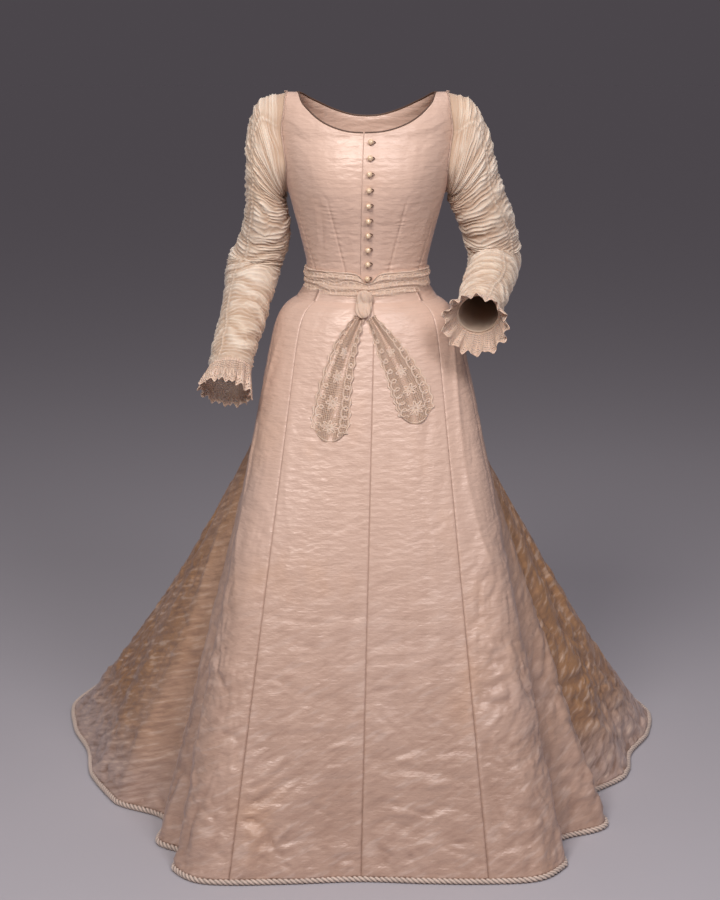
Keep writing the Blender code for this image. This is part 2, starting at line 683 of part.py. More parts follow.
def make_gore(name, start, end, divide):
    """One gore of the skirt, in one solid or two, and the rope along its hem."""
    first = seam_place(start)
    last = seam_place(end) or SKIRT_COUNT
    columns = int(round((last - first) * COLUMNS_PER_SKIRT_ROW)) + 1
    u = np.linspace(first, last, columns)
    middle, normal = cloth_grid(u, np.array(SKIRT_FALLS))
    for ending, low, high in gore_spans(name, divide, columns):
        inner = middle[:, low:high].copy()
        for column, neighbour in ((0, 1), (-1, -2)):
            toward = unit(inner[:, neighbour] - inner[:, column])
            inner[:, column] += toward * GORE_INSET
        outer = inner + normal[:, low:high] * CLOTH
        add_wall("skirt_" + name + ending, outer, inner, "silk taffeta")

    path = skirt(u, np.ones_like(u))
    path[:, 2] = ROPE_RADIUS
    path = path + hem_outward(u) * CLOTH / 2
    ends = []
    for place in (first, last):
        near = skirt(np.array([place - 0.01, place + 0.01]), np.ones(2))
        ends.append(unit(near[1] - near[0]))
    path[0] += ends[0] * SEAM_GAP / 2
    path[-1] -= ends[1] * SEAM_GAP / 2
    add_tube("hem_rope_" + name, path, ROPE_RADIUS, "silk cord", sides=ROPE_SIDES, ends=ends)


def hem_outward(u):
    """Level outward direction at the hem."""
    near = skirt(u + HEM_STEP, np.ones_like(u)) - skirt(u - HEM_STEP, np.ones_like(u))
    return unit(np.stack([near[:, 1], -near[:, 0], 0 * u], -1))


# The sleeves: rings along the arm, the first one at the armhole.


def armhole_ring(turn, side):
    """The armhole as a ring: turn 0 is the shoulder, a quarter turn the front, a half the bottom."""
    share = np.where(turn <= np.pi, 1 - turn / np.pi, turn / np.pi - 1)
    front_angle, front_girth = armhole_front(share)
    back_angle, back_girth = armhole_back(share)
    angle = np.where(turn <= np.pi, front_angle, back_angle)
    girth = np.where(turn <= np.pi, front_girth, back_girth)
    return side * angle, girth


def sleeve_middle(turn, t, side, rows):
    """A point of the plain sleeve: rings between an outer and an inner edge, deep across the arm.

    The depth direction is square to the arm's run and to the line from inner to outer edge.
    """
    values = np.array(rows)
    keys = np.linspace(0.0, 1.0, len(values))
    outer_x, outer_z, inner_x, inner_z, place_y, depth = (
        smooth(keys, values[:, k], t) for k in range(6))

    def centre(at):
        edges = [smooth(keys, values[:, k], at) for k in range(5)]
        return np.stack([side * (edges[0] + edges[2]) / 2, edges[4], (edges[1] + edges[3]) / 2], -1)

    run = unit(centre(np.clip(t + 0.02, 0, 1)) - centre(np.clip(t - 0.02, 0, 1)))
    axis = np.stack([side * (outer_x - inner_x) / 2, 0 * t, (outer_z - inner_z) / 2], -1)
    sideways = unit(np.cross(run, axis)) * side * depth[..., None]
    return centre(t) + axis * np.cos(turn)[..., None] + sideways * np.sin(turn)[..., None]


def sleeve_surface(turn, t, side, rows):
    """The sleeve with its head drawn to the armhole ring, the draw dying away down the cap."""
    angle, girth = armhole_ring(turn, side)
    ring = on_torso(angle, girth, np.full(turn.shape, CLOTH / 2))
    plain = sleeve_middle(turn, t, side, rows)
    start = sleeve_middle(turn, 0 * t, side, rows)
    share = np.clip(t / SLEEVE_HEAD_SHARE, 0, 1)
    outwards = (1 - share) ** 2
    later = np.clip((share - RING_FADE_START) / (1 - RING_FADE_START), 0, 1)
    around = 1 - later * later * (3 - 2 * later)
    fade = np.stack([outwards, around, around], -1)
    return plain + (ring - start) * fade


def sleeve_ridges(turn, count):
    """Gathers ring by ring: ridge and hollow in turn, each uneven round the arm."""
    index = np.arange(2 * count + 1)[:, None]
    sign = np.where(index % 2 == 0, 0.0, 1.0)
    wander = 0.65 + 0.35 * np.sin(turn[None] * (1 + index % 3) + 1.7 * index + 0.6 * index ** 1.5)
    start = np.clip((index - 1) / 4, 0, 1)
    return GATHER_DEPTH * sign * wander * start


def make_sleeve(side, name, rows, spans):
    """One sleeve, gathered outside and plainer inside, as a solid for each span of its rings."""
    turn = 2 * np.pi * np.arange(SLEEVE_SIDES) / SLEEVE_SIDES
    t = np.linspace(0.0, 1.0, 2 * SLEEVE_GATHERS + 1)
    columns, along = np.meshgrid(turn, t)
    middle = sleeve_surface(columns, along, side, rows)
    normal = ring_normals(middle)
    fade = np.clip(1 - along / SLEEVE_HEAD_SHARE * SET_IN_FADE, 0, 1)
    middle = middle - normal * (CHIFFON + SLEEVE_SET_IN) * fade[..., None]
    outer = middle + normal * (CHIFFON + sleeve_ridges(turn, SLEEVE_GATHERS))[..., None]
    for ending, first, last in spans:
        walls = [grid[first:last + 1] for grid in (outer, middle)]
        if first > 0:
            walls = [draw_back(wall, 0) for wall in walls]
        if last < 2 * SLEEVE_GATHERS:
            walls = [draw_back(wall, -1) for wall in walls]
        add_tube_wall(name + ending, walls[0], walls[1][::SLEEVE_INNER_STEP], "silk chiffon")


def draw_back(points, end):
    """A copy of a tube's rings with its first (0) or last (-1) ring drawn in by half a gap."""
    points = points.copy()
    neighbour = 1 if end == 0 else -2
    points[end] += unit(points[neighbour] - points[end]) * SEAM_GAP / 2
    return points


def ring_normals(points):
    """Outward directions of a tube given as rings of points."""
    along = np.gradient(points, axis=0)
    around = np.roll(points, -1, axis=1) - np.roll(points, 1, axis=1)
    normal = unit(np.cross(along, around))
    centre = points.mean(axis=1, keepdims=True)
    sign = np.sign(np.sum(normal * (points - centre), axis=-1).mean())
    return normal * sign


def add_tube_wall(name, outer, inner, finish):
    """A tube wall whose inner grid may have fewer rings than the outer; the ends are joined."""
    rows, columns = outer.shape[:2]
    inner_rows = inner.shape[0]
    shift = rows * columns
    faces = grid_faces(rows, columns, 0, True)
    faces += [tuple(reversed(face)) for face in grid_faces(inner_rows, columns, shift, True)]
    last_outer = (rows - 1) * columns
    last_inner = shift + (inner_rows - 1) * columns
    for j in range(columns):
        k = (j + 1) % columns
        faces.append((k, j, shift + j, shift + k))
        faces.append((last_outer + j, last_outer + k, last_inner + k, last_inner + j))
    points = np.concatenate([outer.reshape(-1, 3), inner.reshape(-1, 3)])
    add_piece(name, points, faces, finish)


def make_cuff(side, name, rows, sizes):
    """A gathered lace frill from the wrist: a flared tube whose waves grow towards its edge."""
    length, edge_radius, wave = sizes
    columns = CUFF_WAVES * 3
    turn = 2 * np.pi * np.arange(columns) / columns
    both = np.array([0.0, np.pi])
    before = sleeve_middle(both, np.full(2, WRIST_SHARE), side, rows).mean(axis=0)
    wrist = sleeve_middle(both, np.ones(2), side, rows).mean(axis=0)
    run = unit(wrist - before)
    spoke = sleeve_middle(turn, np.ones(columns), side, rows) - wrist
    start = (spoke @ run).max() + 2 * SEAM_GAP
    spoke = spoke - (spoke @ run)[:, None] * run
    reach = np.linalg.norm(spoke, axis=1)[:, None]
    outer = []
    for share in CUFF_RINGS:
        ripple = np.cos(CUFF_WAVES * turn + 0.9 * np.sin(3 * turn))[:, None] * wave * share
        radius = reach + CUFF_EASE + (edge_radius - CUFF_START_RADIUS) * share + ripple
        scallop = CUFF_SCALLOP * share * np.cos(2 * CUFF_WAVES * turn)[:, None]
        outer.append(wrist + run * (start + length * share + scallop) + spoke / reach * radius)
    outer = np.array(outer)
    inner = outer - (spoke / reach)[None] * LACE
    add_wall(name, outer, inner, "tape lace", wrap=True)


# Trims laid on the bodice


def make_neck_binding():
    """The dark binding round the neck edge, from one side of the opening to the other."""
    share = np.linspace(0.0, 1.0, BINDING_FRONT_POINTS)
    angle, girth = neckline(share)
    shift = opening_angle(girth) * (1 - share) ** 2
    first = np.where(share == 0, BINDING_END_GAP, 0.0)
    back_u = np.linspace(NECK_SHARE, 0.0, BINDING_BACK_POINTS)
    left_back = panel_coordinates(back_u, np.ones_like(back_u), 1, True)
    right_back = panel_coordinates(back_u[::-1], np.ones_like(back_u), -1, True)
    angles = np.concatenate([angle + shift + first, left_back[0][1:], right_back[0][1:-1],
                             (2 * np.pi - angle + shift - first)[::-1]])
    girths = np.concatenate([girth, left_back[1][1:], right_back[1][1:-1], girth[::-1]])
    path = torso(angles, girths)
    normal = torso_normal(angles, girths)
    along = unit(np.gradient(path, axis=0))
    outward = unit(np.cross(along, normal))
    inwards = np.array([0.0, 0.0, NECK_FRONT_HEIGHT]) - path
    outward = outward * np.sign(np.sum(outward * inwards, axis=-1))[:, None]
    path = path + normal * CLOTH / 2 + outward * (BINDING_RADIUS + 3 * SEAM_GAP)
    add_tube("neck_binding", path, BINDING_RADIUS, "dark silk", sides=6)


def make_armhole_piping(side, name):
    """Thin piping round the armhole, laid on the bodice just inside its edge."""
    turn = 2 * np.pi * np.arange(PIPING_POINTS) / PIPING_POINTS
    angle, girth = armhole_ring(turn, side)
    edge = torso(angle, girth)
    normal = torso_normal(angle, girth)
    along = unit(np.roll(edge, -1, axis=0) - np.roll(edge, 1, axis=0))
    inwards = unit(np.cross(along, normal))
    away = edge - edge.mean(axis=0)
    inwards = inwards * np.sign(np.sum(inwards * away, axis=-1))[:, None]
    path = edge + normal * (CLOTH + PIPING_RADIUS + 2 * SEAM_GAP) + inwards * PIPING_SET_IN
    add_ring_tube(name, path, PIPING_RADIUS, "silk taffeta")


def add_ring_tube(name, path, radius, finish, sides=6):
    """A closed tube along a ring of points."""
    along = unit(np.roll(path, -1, axis=0) - np.roll(path, 1, axis=0))
    points = tube_points(path, along, unit(path - path.mean(axis=0)), radius, sides)
    rows = len(path)
    faces = []
    for i in range(rows):
        first = i * sides
        second = ((i + 1) % rows) * sides
        for j in range(sides):
            k = (j + 1) % sides
            faces.append((first + j, first + k, second + k, second + j))
    add_piece(name, points, faces, finish)


def ball(radius, sides, rings):
    """Points and faces of a ball."""
    solid = bmesh.new()
    bmesh.ops.create_uvsphere(solid, u_segments=sides, v_segments=rings, radius=radius)
    points = np.array([vert.co[:] for vert in solid.verts])
    faces = [tuple(vert.index for vert in face.verts) for face in solid.faces]
    solid.free()
    return points, faces


def front_facet(angle, girth):
    """The point of the front's flat facets at a cloth coordinate: on the line between two rows."""
    rows = WAIST_HEIGHT + (girth_of(NECK_FRONT_HEIGHT) - WAIST_HEIGHT) * PANEL_ROWS
    above = np.clip(np.searchsorted(rows, girth), 1, len(rows) - 1)
    low = rows[above - 1]
    high = rows[above]
    share = ((girth - low) / (high - low))[:, None]
    return torso(angle, low) * (1 - share) + torso(angle, high) * share


def make_buttons():
    """Ten ball buttons on the left front, one pitch apart down the opening."""
    for number in range(BUTTON_COUNT):
        height = NECK_FRONT_HEIGHT - TOP_BUTTON_DROP - number * BUTTON_PITCH
        girth = np.array([girth_of(height)])
        angle = opening_angle(girth) + BUTTON_SET_IN / torso_section(girth)[0]
        stand = torso_normal(angle, girth) * (CLOTH + BUTTON_RADIUS + 2 * SEAM_GAP)
        centre = (front_facet(angle, girth) + stand)[0]
        points, faces = ball(BUTTON_RADIUS, BALL_SIDES, BALL_RINGS)
        add_piece("button_%02d" % (number + 1), points + centre, faces, "pearl")


# The sash


def turn_from_front(turn):
    """Signed angle from the front, from half a turn back to half a turn on."""
    return (turn + np.pi) % (2 * np.pi) - np.pi


def make_sash_band():
    """The lace band crushed round the waist: soft level folds that wander a little."""
    turn = 2 * np.pi * np.arange(SASH_COLUMNS) / SASH_COLUMNS
    shares = np.linspace(0.0, 1.0, 2 * SASH_FOLDS + 1)
    dip = np.exp(-((turn_from_front(turn) - SASH_DIP_ANGLE) / SASH_DIP_SPREAD) ** 2)
    outer = []
    inner = []
    for index, share in enumerate(shares):
        low = SASH_BOTTOM + SASH_LIFT
        height = low + (SASH_TOP - low) * share - SASH_SAG * np.cos(turn) * (1 - share)
        height = height - SASH_DIP * share ** 3 * dip
        fold = SASH_RIDGE if index % 2 else SASH_HOLLOW
        fold = fold * (0.75 + 0.25 * np.sin(2 * turn + 2.1 * index))
        local = torso(turn, height)
        reach = np.linalg.norm(local[:, :2], axis=1)[:, None]
        level = unit(local * (1.0, 1.0, 0.0))
        point = level * (reach + CLOTH + SASH_EASE + SASH_FLARE * (1 - share) ** 2)
        point[:, 2] = height
        inner.append(point)
        outer.append(point + level * (LACE + fold)[:, None])
    add_wall("sash_band", np.array(outer), np.array(inner), "tape lace", wrap=True)


def front_skirt_point(x, height):
    """The skirt's front at a distance from the middle and a height: u is found by halving."""
    s = 1 - (height - ROPE_RADIUS) / (SASH_BOTTOM - ROPE_RADIUS)
    low = np.full_like(x, -3.0)
    high = np.full_like(x, 3.0)
    for _ in range(30):
        middle = (low + high) / 2
        right_of = skirt(middle, s)[..., 0] < x
        low = np.where(right_of, middle, low)
        high = np.where(right_of, high, middle)
    u = (low + high) / 2
    return skirt(u, s) + skirt_normal(u, s) * CLOTH, skirt_normal(u, s)


def tail_grid(rows, fold_phase):
    """The points of one sash tail on the skirt front, with soft lengthwise folds."""
    places, heights, halves = np.array(rows).T
    keys = np.linspace(0.0, 1.0, len(rows))
    share = np.linspace(0.0, 1.0, TAIL_ROWS)
    across = np.linspace(-1.0, 1.0, TAIL_COLUMNS)
    x = smooth(keys, places, share)
    z = smooth(keys, heights, share)
    half = smooth(keys, halves, share)
    run = unit(np.stack([np.gradient(x), np.gradient(z)], -1))
    square = np.stack([-run[:, 1], run[:, 0]], -1)
    is_edge = np.abs(across) == 1.0
    scallop = TAIL_SCALLOP * np.cos(share * TAIL_SCALLOP_TURN)[:, None] * is_edge
    offset = across[None] * half[:, None] + scallop * across[None]
    end = np.clip((share[:, None] - TAIL_END_SHARE) / (1 - TAIL_END_SHARE), 0, 1)
    round_end = TAIL_END_RISE * end * across[None] ** 2
    grid_x = x[:, None] + square[:, :1] * offset - run[:, :1] * round_end
    grid_z = z[:, None] + square[:, 1:] * offset - run[:, 1:] * round_end
    point, normal = front_skirt_point(grid_x, grid_z)
    turn = across[None] * TAIL_FOLD_TURN + fold_phase + TAIL_FOLD_DRIFT * share[:, None]
    fold = TAIL_FOLD * (1 + np.cos(turn)) * (1.0 - TAIL_FOLD_LOSS * share[:, None])
    return point, normal, TAIL_LIFT + fold


def tail_gaps():
    """Which cells of a tail stay: gaps in the open lace of the end, set like bricks."""
    keep = [[True] * (TAIL_COLUMNS - 1) for _ in range(TAIL_ROWS - 1)]
    for i in range(TAIL_OPEN_ROW, TAIL_ROWS - 3, TAIL_GAP_ROWS):
        for j in range(1, TAIL_COLUMNS - 2):
            if (j + i // TAIL_GAP_ROWS) % TAIL_GAP_COLUMNS == 0:
                keep[i][j] = False
    return keep


def make_sash_tail(name, rows, fold_phase):
    """One lace tail hanging over the skirt front."""
    point, normal, lift = tail_grid(rows, fold_phase)
    inner = point + normal * lift[..., None]
    outer = inner + normal * LACE
    add_wall(name, outer, inner, "tape lace", keep=tail_gaps())


def make_sash_knot():
    """The knot: an upright pad of lace over the band, pinched at its middle."""
    points, faces = ball(1.0, KNOT_SIDES, KNOT_RINGS)
    pinch = KNOT_PINCH + (1 - KNOT_PINCH) * np.abs(points[:, 2])
    points = points * KNOT_HALF_SIZES * np.stack([pinch, pinch, np.ones(len(pinch))], -1)
    points = points + (KNOT_CENTRE[0], -KNOT_HALF_SIZES[1], KNOT_CENTRE[1])
    points[:, 1] += knot_seat(points[:, 2])
    add_piece("sash_knot", points, faces, "tape lace")


def knot_seat(height):
    """How far forward the sash and the skirt stand at the middle, at each height."""
    band = torso(np.zeros(1), np.full(1, WAIST_HEIGHT))[0, 1] - CLOTH - SASH_EASE - LACE
    s = 1 - (height - ROPE_RADIUS) / (SASH_BOTTOM - ROPE_RADIUS)
    cloth = skirt(np.full_like(height, -0.3), np.clip(s, 0, 1))[:, 1] - CLOTH
    return np.minimum(band - KNOT_STAND_OFF, cloth - KNOT_CLEARANCE)


def clear_scene():
    """Remove whatever the open file holds."""
    for leftover in list(bpy.data.objects):
        bpy.data.objects.remove(leftover, do_unlink=True)


def main():
    """Make every piece of the gown."""
    clear_scene()
    make_bodice_front(-1, "bodice_front_right")
    make_bodice_front(1, "bodice_front_left")
    make_bodice_back()
    make_neck_binding()
    make_armhole_piping(-1, "armhole_piping_right")
    make_armhole_piping(1, "armhole_piping_left")
    make_buttons()
    make_sleeve(-1, "sleeve_right", RIGHT_SLEEVE_ROWS, RIGHT_SLEEVE_SPANS)
    make_sleeve(1, "sleeve_left", LEFT_SLEEVE_ROWS, LEFT_SLEEVE_SPANS)
    make_cuff(-1, "cuff_right", RIGHT_SLEEVE_ROWS, RIGHT_CUFF)
    make_cuff(1, "cuff_left", LEFT_SLEEVE_ROWS, LEFT_CUFF)
    make_sash_band()
    make_sash_knot()
    make_sash_tail("sash_tail_right", RIGHT_TAIL_ROWS, 0.4)
    make_sash_tail("sash_tail_left", LEFT_TAIL_ROWS, 2.6)
    for name, start, end, divide in GORES:
        make_gore(name, start, end, divide)


main()
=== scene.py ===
"""The looks of the evening gown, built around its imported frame.

Metres, Z up, X towards the wearer's left, Y towards the back. Right and left are the wearer's.
Heights in the tables are above the floor; every mesh is lowered by SHOULDER_HEIGHT when it is
made, because the frame's origin is the middle of the shoulder line.
The gown's form repeats the sizes of the CAD model, on finer grids.
"""
import math

import bpy
import numpy as np
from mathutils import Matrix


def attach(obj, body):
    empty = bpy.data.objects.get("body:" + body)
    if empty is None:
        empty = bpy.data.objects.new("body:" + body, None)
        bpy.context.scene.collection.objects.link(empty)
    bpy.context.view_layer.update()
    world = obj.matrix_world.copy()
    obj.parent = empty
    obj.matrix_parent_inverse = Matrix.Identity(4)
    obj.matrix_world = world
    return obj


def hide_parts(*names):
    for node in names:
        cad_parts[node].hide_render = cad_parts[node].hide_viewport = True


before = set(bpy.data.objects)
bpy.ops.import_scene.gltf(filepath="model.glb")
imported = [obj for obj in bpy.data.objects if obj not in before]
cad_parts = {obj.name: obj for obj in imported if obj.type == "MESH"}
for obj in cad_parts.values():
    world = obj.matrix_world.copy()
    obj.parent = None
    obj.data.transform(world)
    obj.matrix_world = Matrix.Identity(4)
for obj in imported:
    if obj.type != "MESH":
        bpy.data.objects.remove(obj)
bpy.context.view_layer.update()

# Sizes shared with the CAD model
SHOULDER_HEIGHT = 1.366
WAIST_HEIGHT = 1.030
SASH_TOP = 1.053
SASH_BOTTOM = 1.004
CHEST_HEIGHT = 1.295
NECK_FRONT_HEIGHT = 1.300
NECK_BACK_HEIGHT = 1.318
ARMHOLE_BOTTOM = 1.190
CLOTH = 0.0015
CHIFFON = 0.0010
LACE = 0.0012
SEAM_GAP = 0.0003
ROPE_RADIUS = 0.0052
BINDING_RADIUS = 0.0014
PIPING_RADIUS = 0.0012
PIPING_SET_IN = 0.0022
BUTTON_RADIUS = 0.0050
BUTTON_COUNT = 10
BUTTON_PITCH = 0.0268
TOP_BUTTON_DROP = 0.016
BUTTON_SET_IN = 0.0125
OPENING_LEAN = (-0.115, -0.035)

# Torso sections up to the chest: height, half width, front depth, back depth
TORSO_ROWS = (
    (1.0, 0.109, 0.095, 0.084),
    (1.03, 0.1085, 0.096, 0.084),
    (1.065, 0.1095, 0.101, 0.0855),
    (1.1, 0.1175, 0.109, 0.089),
    (1.135, 0.1265, 0.12, 0.094),
    (1.17, 0.1355, 0.132, 0.099),
    (1.205, 0.145, 0.138, 0.1025),
    (1.25, 0.1555, 0.1345, 0.1045),
    (1.295, 0.162, 0.119, 0.101),
)
SHOULDER_HALF_WIDTH = 0.1530
SHOULDER_ARC = 0.130
BUST_ANGLE = 33.0
BUST_SPREAD = 20.0
BUST_HEIGHT = 1.212
BUST_RISE = 0.048
BUST_DEPTH = 0.0060

# Front neckline from the opening to the strap: distance from the middle, height
NECKLINE_ROWS = (
    (0.0, 1.3),
    (0.03, 1.302),
    (0.058, 1.309),
    (0.082, 1.32),
    (0.102, 1.335),
    (0.118, 1.352),
)
STRAP_INNER = 0.1265
STRAP_OUTER = 0.1450
# Front edge of the armhole from the side seam to the strap: distance from the middle, height
ARMHOLE_FRONT_ROWS = (
    (0.1455, 1.1935),
    (0.1435, 1.208),
    (0.143, 1.235),
    (0.147, 1.27),
    (0.151, 1.305),
    (0.147, 1.34),
)
ARMHOLE_BACK_DEPTH = 0.84
NECK_SHARE = 0.84
SIDE_SHARE = 0.50

# The skirt, once round from the centre front towards the wearer's left.
# Name, angle at the waist, hem place from the middle (x, y), tuck at the hem, sweep of the fall
SKIRT_ROWS = (
    ("centre_front", 5, -0.011, -0.364, 0.0, 1.0),
    ("left_front", 27, 0.108, -0.372, 0.0, 1.0),
    ("left_front_seam", 50, 0.216, -0.374, 0.0, 1.0),
    ("left_front_turn", 66, 0.306, -0.361, 0.0, 1.0),
    ("left_front_fold", 79, 0.356, -0.306, 0.0, 1.0),
    ("left_front_tuck", 104, 0.398, -0.225, 0.05, 1.0),
    ("left_side_fold", 134, 0.452, -0.13, 0.0, 1.0),
    ("left_side_seam", 143, 0.48, -0.02, 0.055, 1.0),
    ("left_train_fold", 150, 0.52, 0.11, 0.0, 1.0),
    ("left_train_hollow", 156, 0.56, 0.225, 0.014, 1.02),
    ("left_train_wing", 162, 0.598, 0.34, 0.0, 1.06),
    ("left_tip", 168, 0.62, 0.46, 0.0, 1.12),
    ("left_back_seam", 171.5, 0.607, 0.62, 0.028, 1.22),
    ("left_back_fold", 174, 0.538, 0.79, 0.0, 1.38),
    ("left_back_hollow", 176, 0.4, 0.94, 0.034, 1.52),
    ("left_inner_fold", 178, 0.215, 1.04, 0.0, 1.62),
    ("centre_back", 180, 0.0, 1.08, 0.03, 1.66),
    ("right_inner_fold", 181.6, -0.22, 1.055, 0.0, 1.62),
    ("right_back_hollow", 183.2, -0.412, 0.965, 0.034, 1.52),
    ("right_back_fold", 184.8, -0.553, 0.825, 0.0, 1.38),
    ("right_back_seam", 186.5, -0.63, 0.665, 0.028, 1.22),
    ("right_tip", 189, -0.646, 0.51, 0.0, 1.17),
    ("right_train_wing", 194, -0.622, 0.37, 0.0, 1.08),
    ("right_train_hollow", 200, -0.59, 0.24, 0.014, 1.02),
    ("right_train_fold", 207, -0.55, 0.11, 0.0, 1.0),
    ("right_train_front", 216, -0.488, -0.02, 0.0, 1.0),
    ("right_side_seam", 229, -0.425, -0.12, 0.045, 1.0),
    ("right_side_fold", 243, -0.386, -0.205, 0.0, 1.0),
    ("right_front_tuck", 263, -0.366, -0.262, 0.03, 1.0),
    ("right_front_fold", 279, -0.345, -0.322, 0.0, 1.0),
    ("right_front_turn", 297, -0.306, -0.366, 0.0, 1.0),
    ("right_front_seam", 313, -0.245, -0.378, 0.0, 1.0),
    ("right_front", 337, -0.128, -0.373, 0.0, 1.0),
)
CONE_HALF_WIDTH = 0.158
CONE_FRONT = 0.116
CONE_BACK = 0.128
HIP_SPRING = 0.018
TUCK_START_POWER = 1.6

# Gores: name, first seam, last seam, columns and rows of the fine grid
GORES = (
    ("left_front", "centre_front", "left_front_seam", 72, 272),
    ("left_side", "left_front_seam", "left_side_seam", 100, 232),
    ("left_side_back", "left_side_seam", "left_back_seam", 100, 192),
    ("left_back", "left_back_seam", "centre_back", 104, 160),
    ("right_back", "centre_back", "right_back_seam", 104, 160),
    ("right_side_back", "right_back_seam", "right_side_seam", 108, 192),
    ("right_side", "right_side_seam", "right_front_seam", 92, 232),
    ("right_front", "right_front_seam", "centre_front", 72, 272),
)
# Gores whose solid isn't divided in the CAD model
WHOLE_GORES = ("left_front", "right_front")

# Sleeve sections: outer edge (x, height), inner edge (x, height), place along y, half depth
RIGHT_SLEEVE_ROWS = (
    (0.17, 1.372, 0.15, 1.187, 0.0, 0.054),
    (0.194, 1.352, 0.1535, 1.184, 0.0, 0.056),
    (0.214, 1.295, 0.154, 1.177, 0.002, 0.052),
    (0.217, 1.22, 0.151, 1.165, 0.006, 0.047),
    (0.221, 1.15, 0.145, 1.132, 0.014, 0.045),
    (0.235, 1.1, 0.15, 1.088, 0.03, 0.046),
    (0.257, 1.055, 0.162, 1.048, 0.038, 0.048),
    (0.261, 1.005, 0.178, 1.0, 0.012, 0.044),
    (0.268, 0.955, 0.19, 0.955, -0.028, 0.041),
    (0.277, 0.915, 0.2035, 0.918, -0.062, 0.038),
    (0.284, 0.875, 0.213, 0.879, -0.095, 0.036),
)
LEFT_SLEEVE_ROWS = (
    (0.168, 1.372, 0.15, 1.187, 0.0, 0.054),
    (0.19, 1.352, 0.1535, 1.184, 0.0, 0.056),
    (0.216, 1.3, 0.1545, 1.178, 0.002, 0.052),
    (0.236, 1.228, 0.156, 1.165, 0.008, 0.048),
    (0.26, 1.162, 0.172, 1.13, 0.022, 0.046),
    (0.276, 1.108, 0.188, 1.085, 0.045, 0.047),
    (0.283, 1.068, 0.195, 1.05, 0.052, 0.047),
    (0.275, 1.044, 0.188, 1.034, 0.01, 0.044),
    (0.261, 1.022, 0.178, 1.018, -0.045, 0.041),
    (0.246, 1.003, 0.169, 1.001, -0.1, 0.038),
    (0.233, 0.986, 0.162, 0.985, -0.148, 0.036),
)
SLEEVE_HEAD_SHARE = 0.14
SLEEVE_SET_IN = 0.0019
SET_IN_FADE = 1.4
RING_FADE_START = 0.2
SLEEVE_LENGTH = 0.56
SLEEVE_COLUMNS = 112
SLEEVE_RINGS = 400
# Ruching of the chiffon: how far apart and how high its puffs, gathers, cross gathers and the
# frill on the shirred lines are; where round the arm those lines run; and the arm's radius
PUFF_SPACING, PUFF_HEIGHT = 0.034, 0.0040
GATHER_SPACING, GATHER_HEIGHT = 0.0080, 0.0034
CROSS_SPACING, CROSS_HEIGHT = 0.0125, 0.0024
FRILL_SPACING, FRILL_HEIGHT = 0.0078, 0.0036
SHIRRED_TURNS = (0.95, 4.35)
ARM_RADIUS = 0.045

# Cuff frills: length along the arm, radius at the edge, height of the waves
RIGHT_CUFF = (0.042, 0.046, 0.0045)
LEFT_CUFF = (0.036, 0.056, 0.0050)
CUFF_WAVES = 13
CUFF_START_RADIUS = 0.036
CUFF_EASE = 0.002
CUFF_SCALLOP = 0.003
WRIST_SHARE = 0.94
CUFF_COLUMNS = 260
CUFF_ROWS = 22
CUFF_LOOPS = 26

# Sash tails down the skirt front: distance from the middle, height, half width
RIGHT_TAIL_ROWS = (
    (-0.0135, 0.973, 0.0085),
    (-0.036, 0.925, 0.02),
    (-0.054, 0.86, 0.028),
    (-0.064, 0.8, 0.034),
    (-0.07, 0.757, 0.03),
)
LEFT_TAIL_ROWS = (
    (0.0065, 0.973, 0.0085),
    (0.036, 0.925, 0.022),
    (0.064, 0.872, 0.031),
    (0.082, 0.83, 0.034),
    (0.092, 0.788, 0.029),
)
TAIL_LIFT = 0.0006
TAIL_FOLD = 0.0034
TAIL_FOLD_TURN = 6.5
TAIL_FOLD_DRIFT = 2.0
TAIL_FOLD_LOSS = 0.6
TAIL_END_SHARE = 0.88
TAIL_END_RISE = 0.022
TAIL_SCALLOP = 0.0016
TAIL_HALF_WIDTH = 0.032
TAIL_ROWS = 128
TAIL_COLUMNS = 40
TAIL_LOOP_PLACE = 0.0215
# Flowers of tape on each tail: share of its length, radius, petals
ROSETTES = (
    (0.3, 0.0085, 5),
    (0.46, 0.01, 6),
    (0.64, 0.012, 6),
    (0.84, 0.015, 8),
)
SASH_LIFT = 0.0035
SASH_SAG = 0.0015
SASH_DIP = 0.021
SASH_DIP_SPREAD = 0.13
SASH_DIP_ANGLE = 0.02
SASH_EASE = 0.0011
SASH_FLARE = 0.0010
SASH_COLUMNS = 400
SASH_ROWS = 40
SASH_RADIUS = 0.105
SASH_WIDTH = 0.047
SASH_LOOPS = 56
# Rows of loops on the band: place up it, where the loops begin
SASH_LOOP_ROWS = ((0.012, 0.0), (0.026, 1.4), (0.038, 2.8))
SASH_EDGES = (0.001, 0.046)
KNOT_CENTRE = (-0.006, 0.9985)
KNOT_HALF_SIZES = (0.0165, 0.0085, 0.0240)
KNOT_INNER_SHARE = 0.88

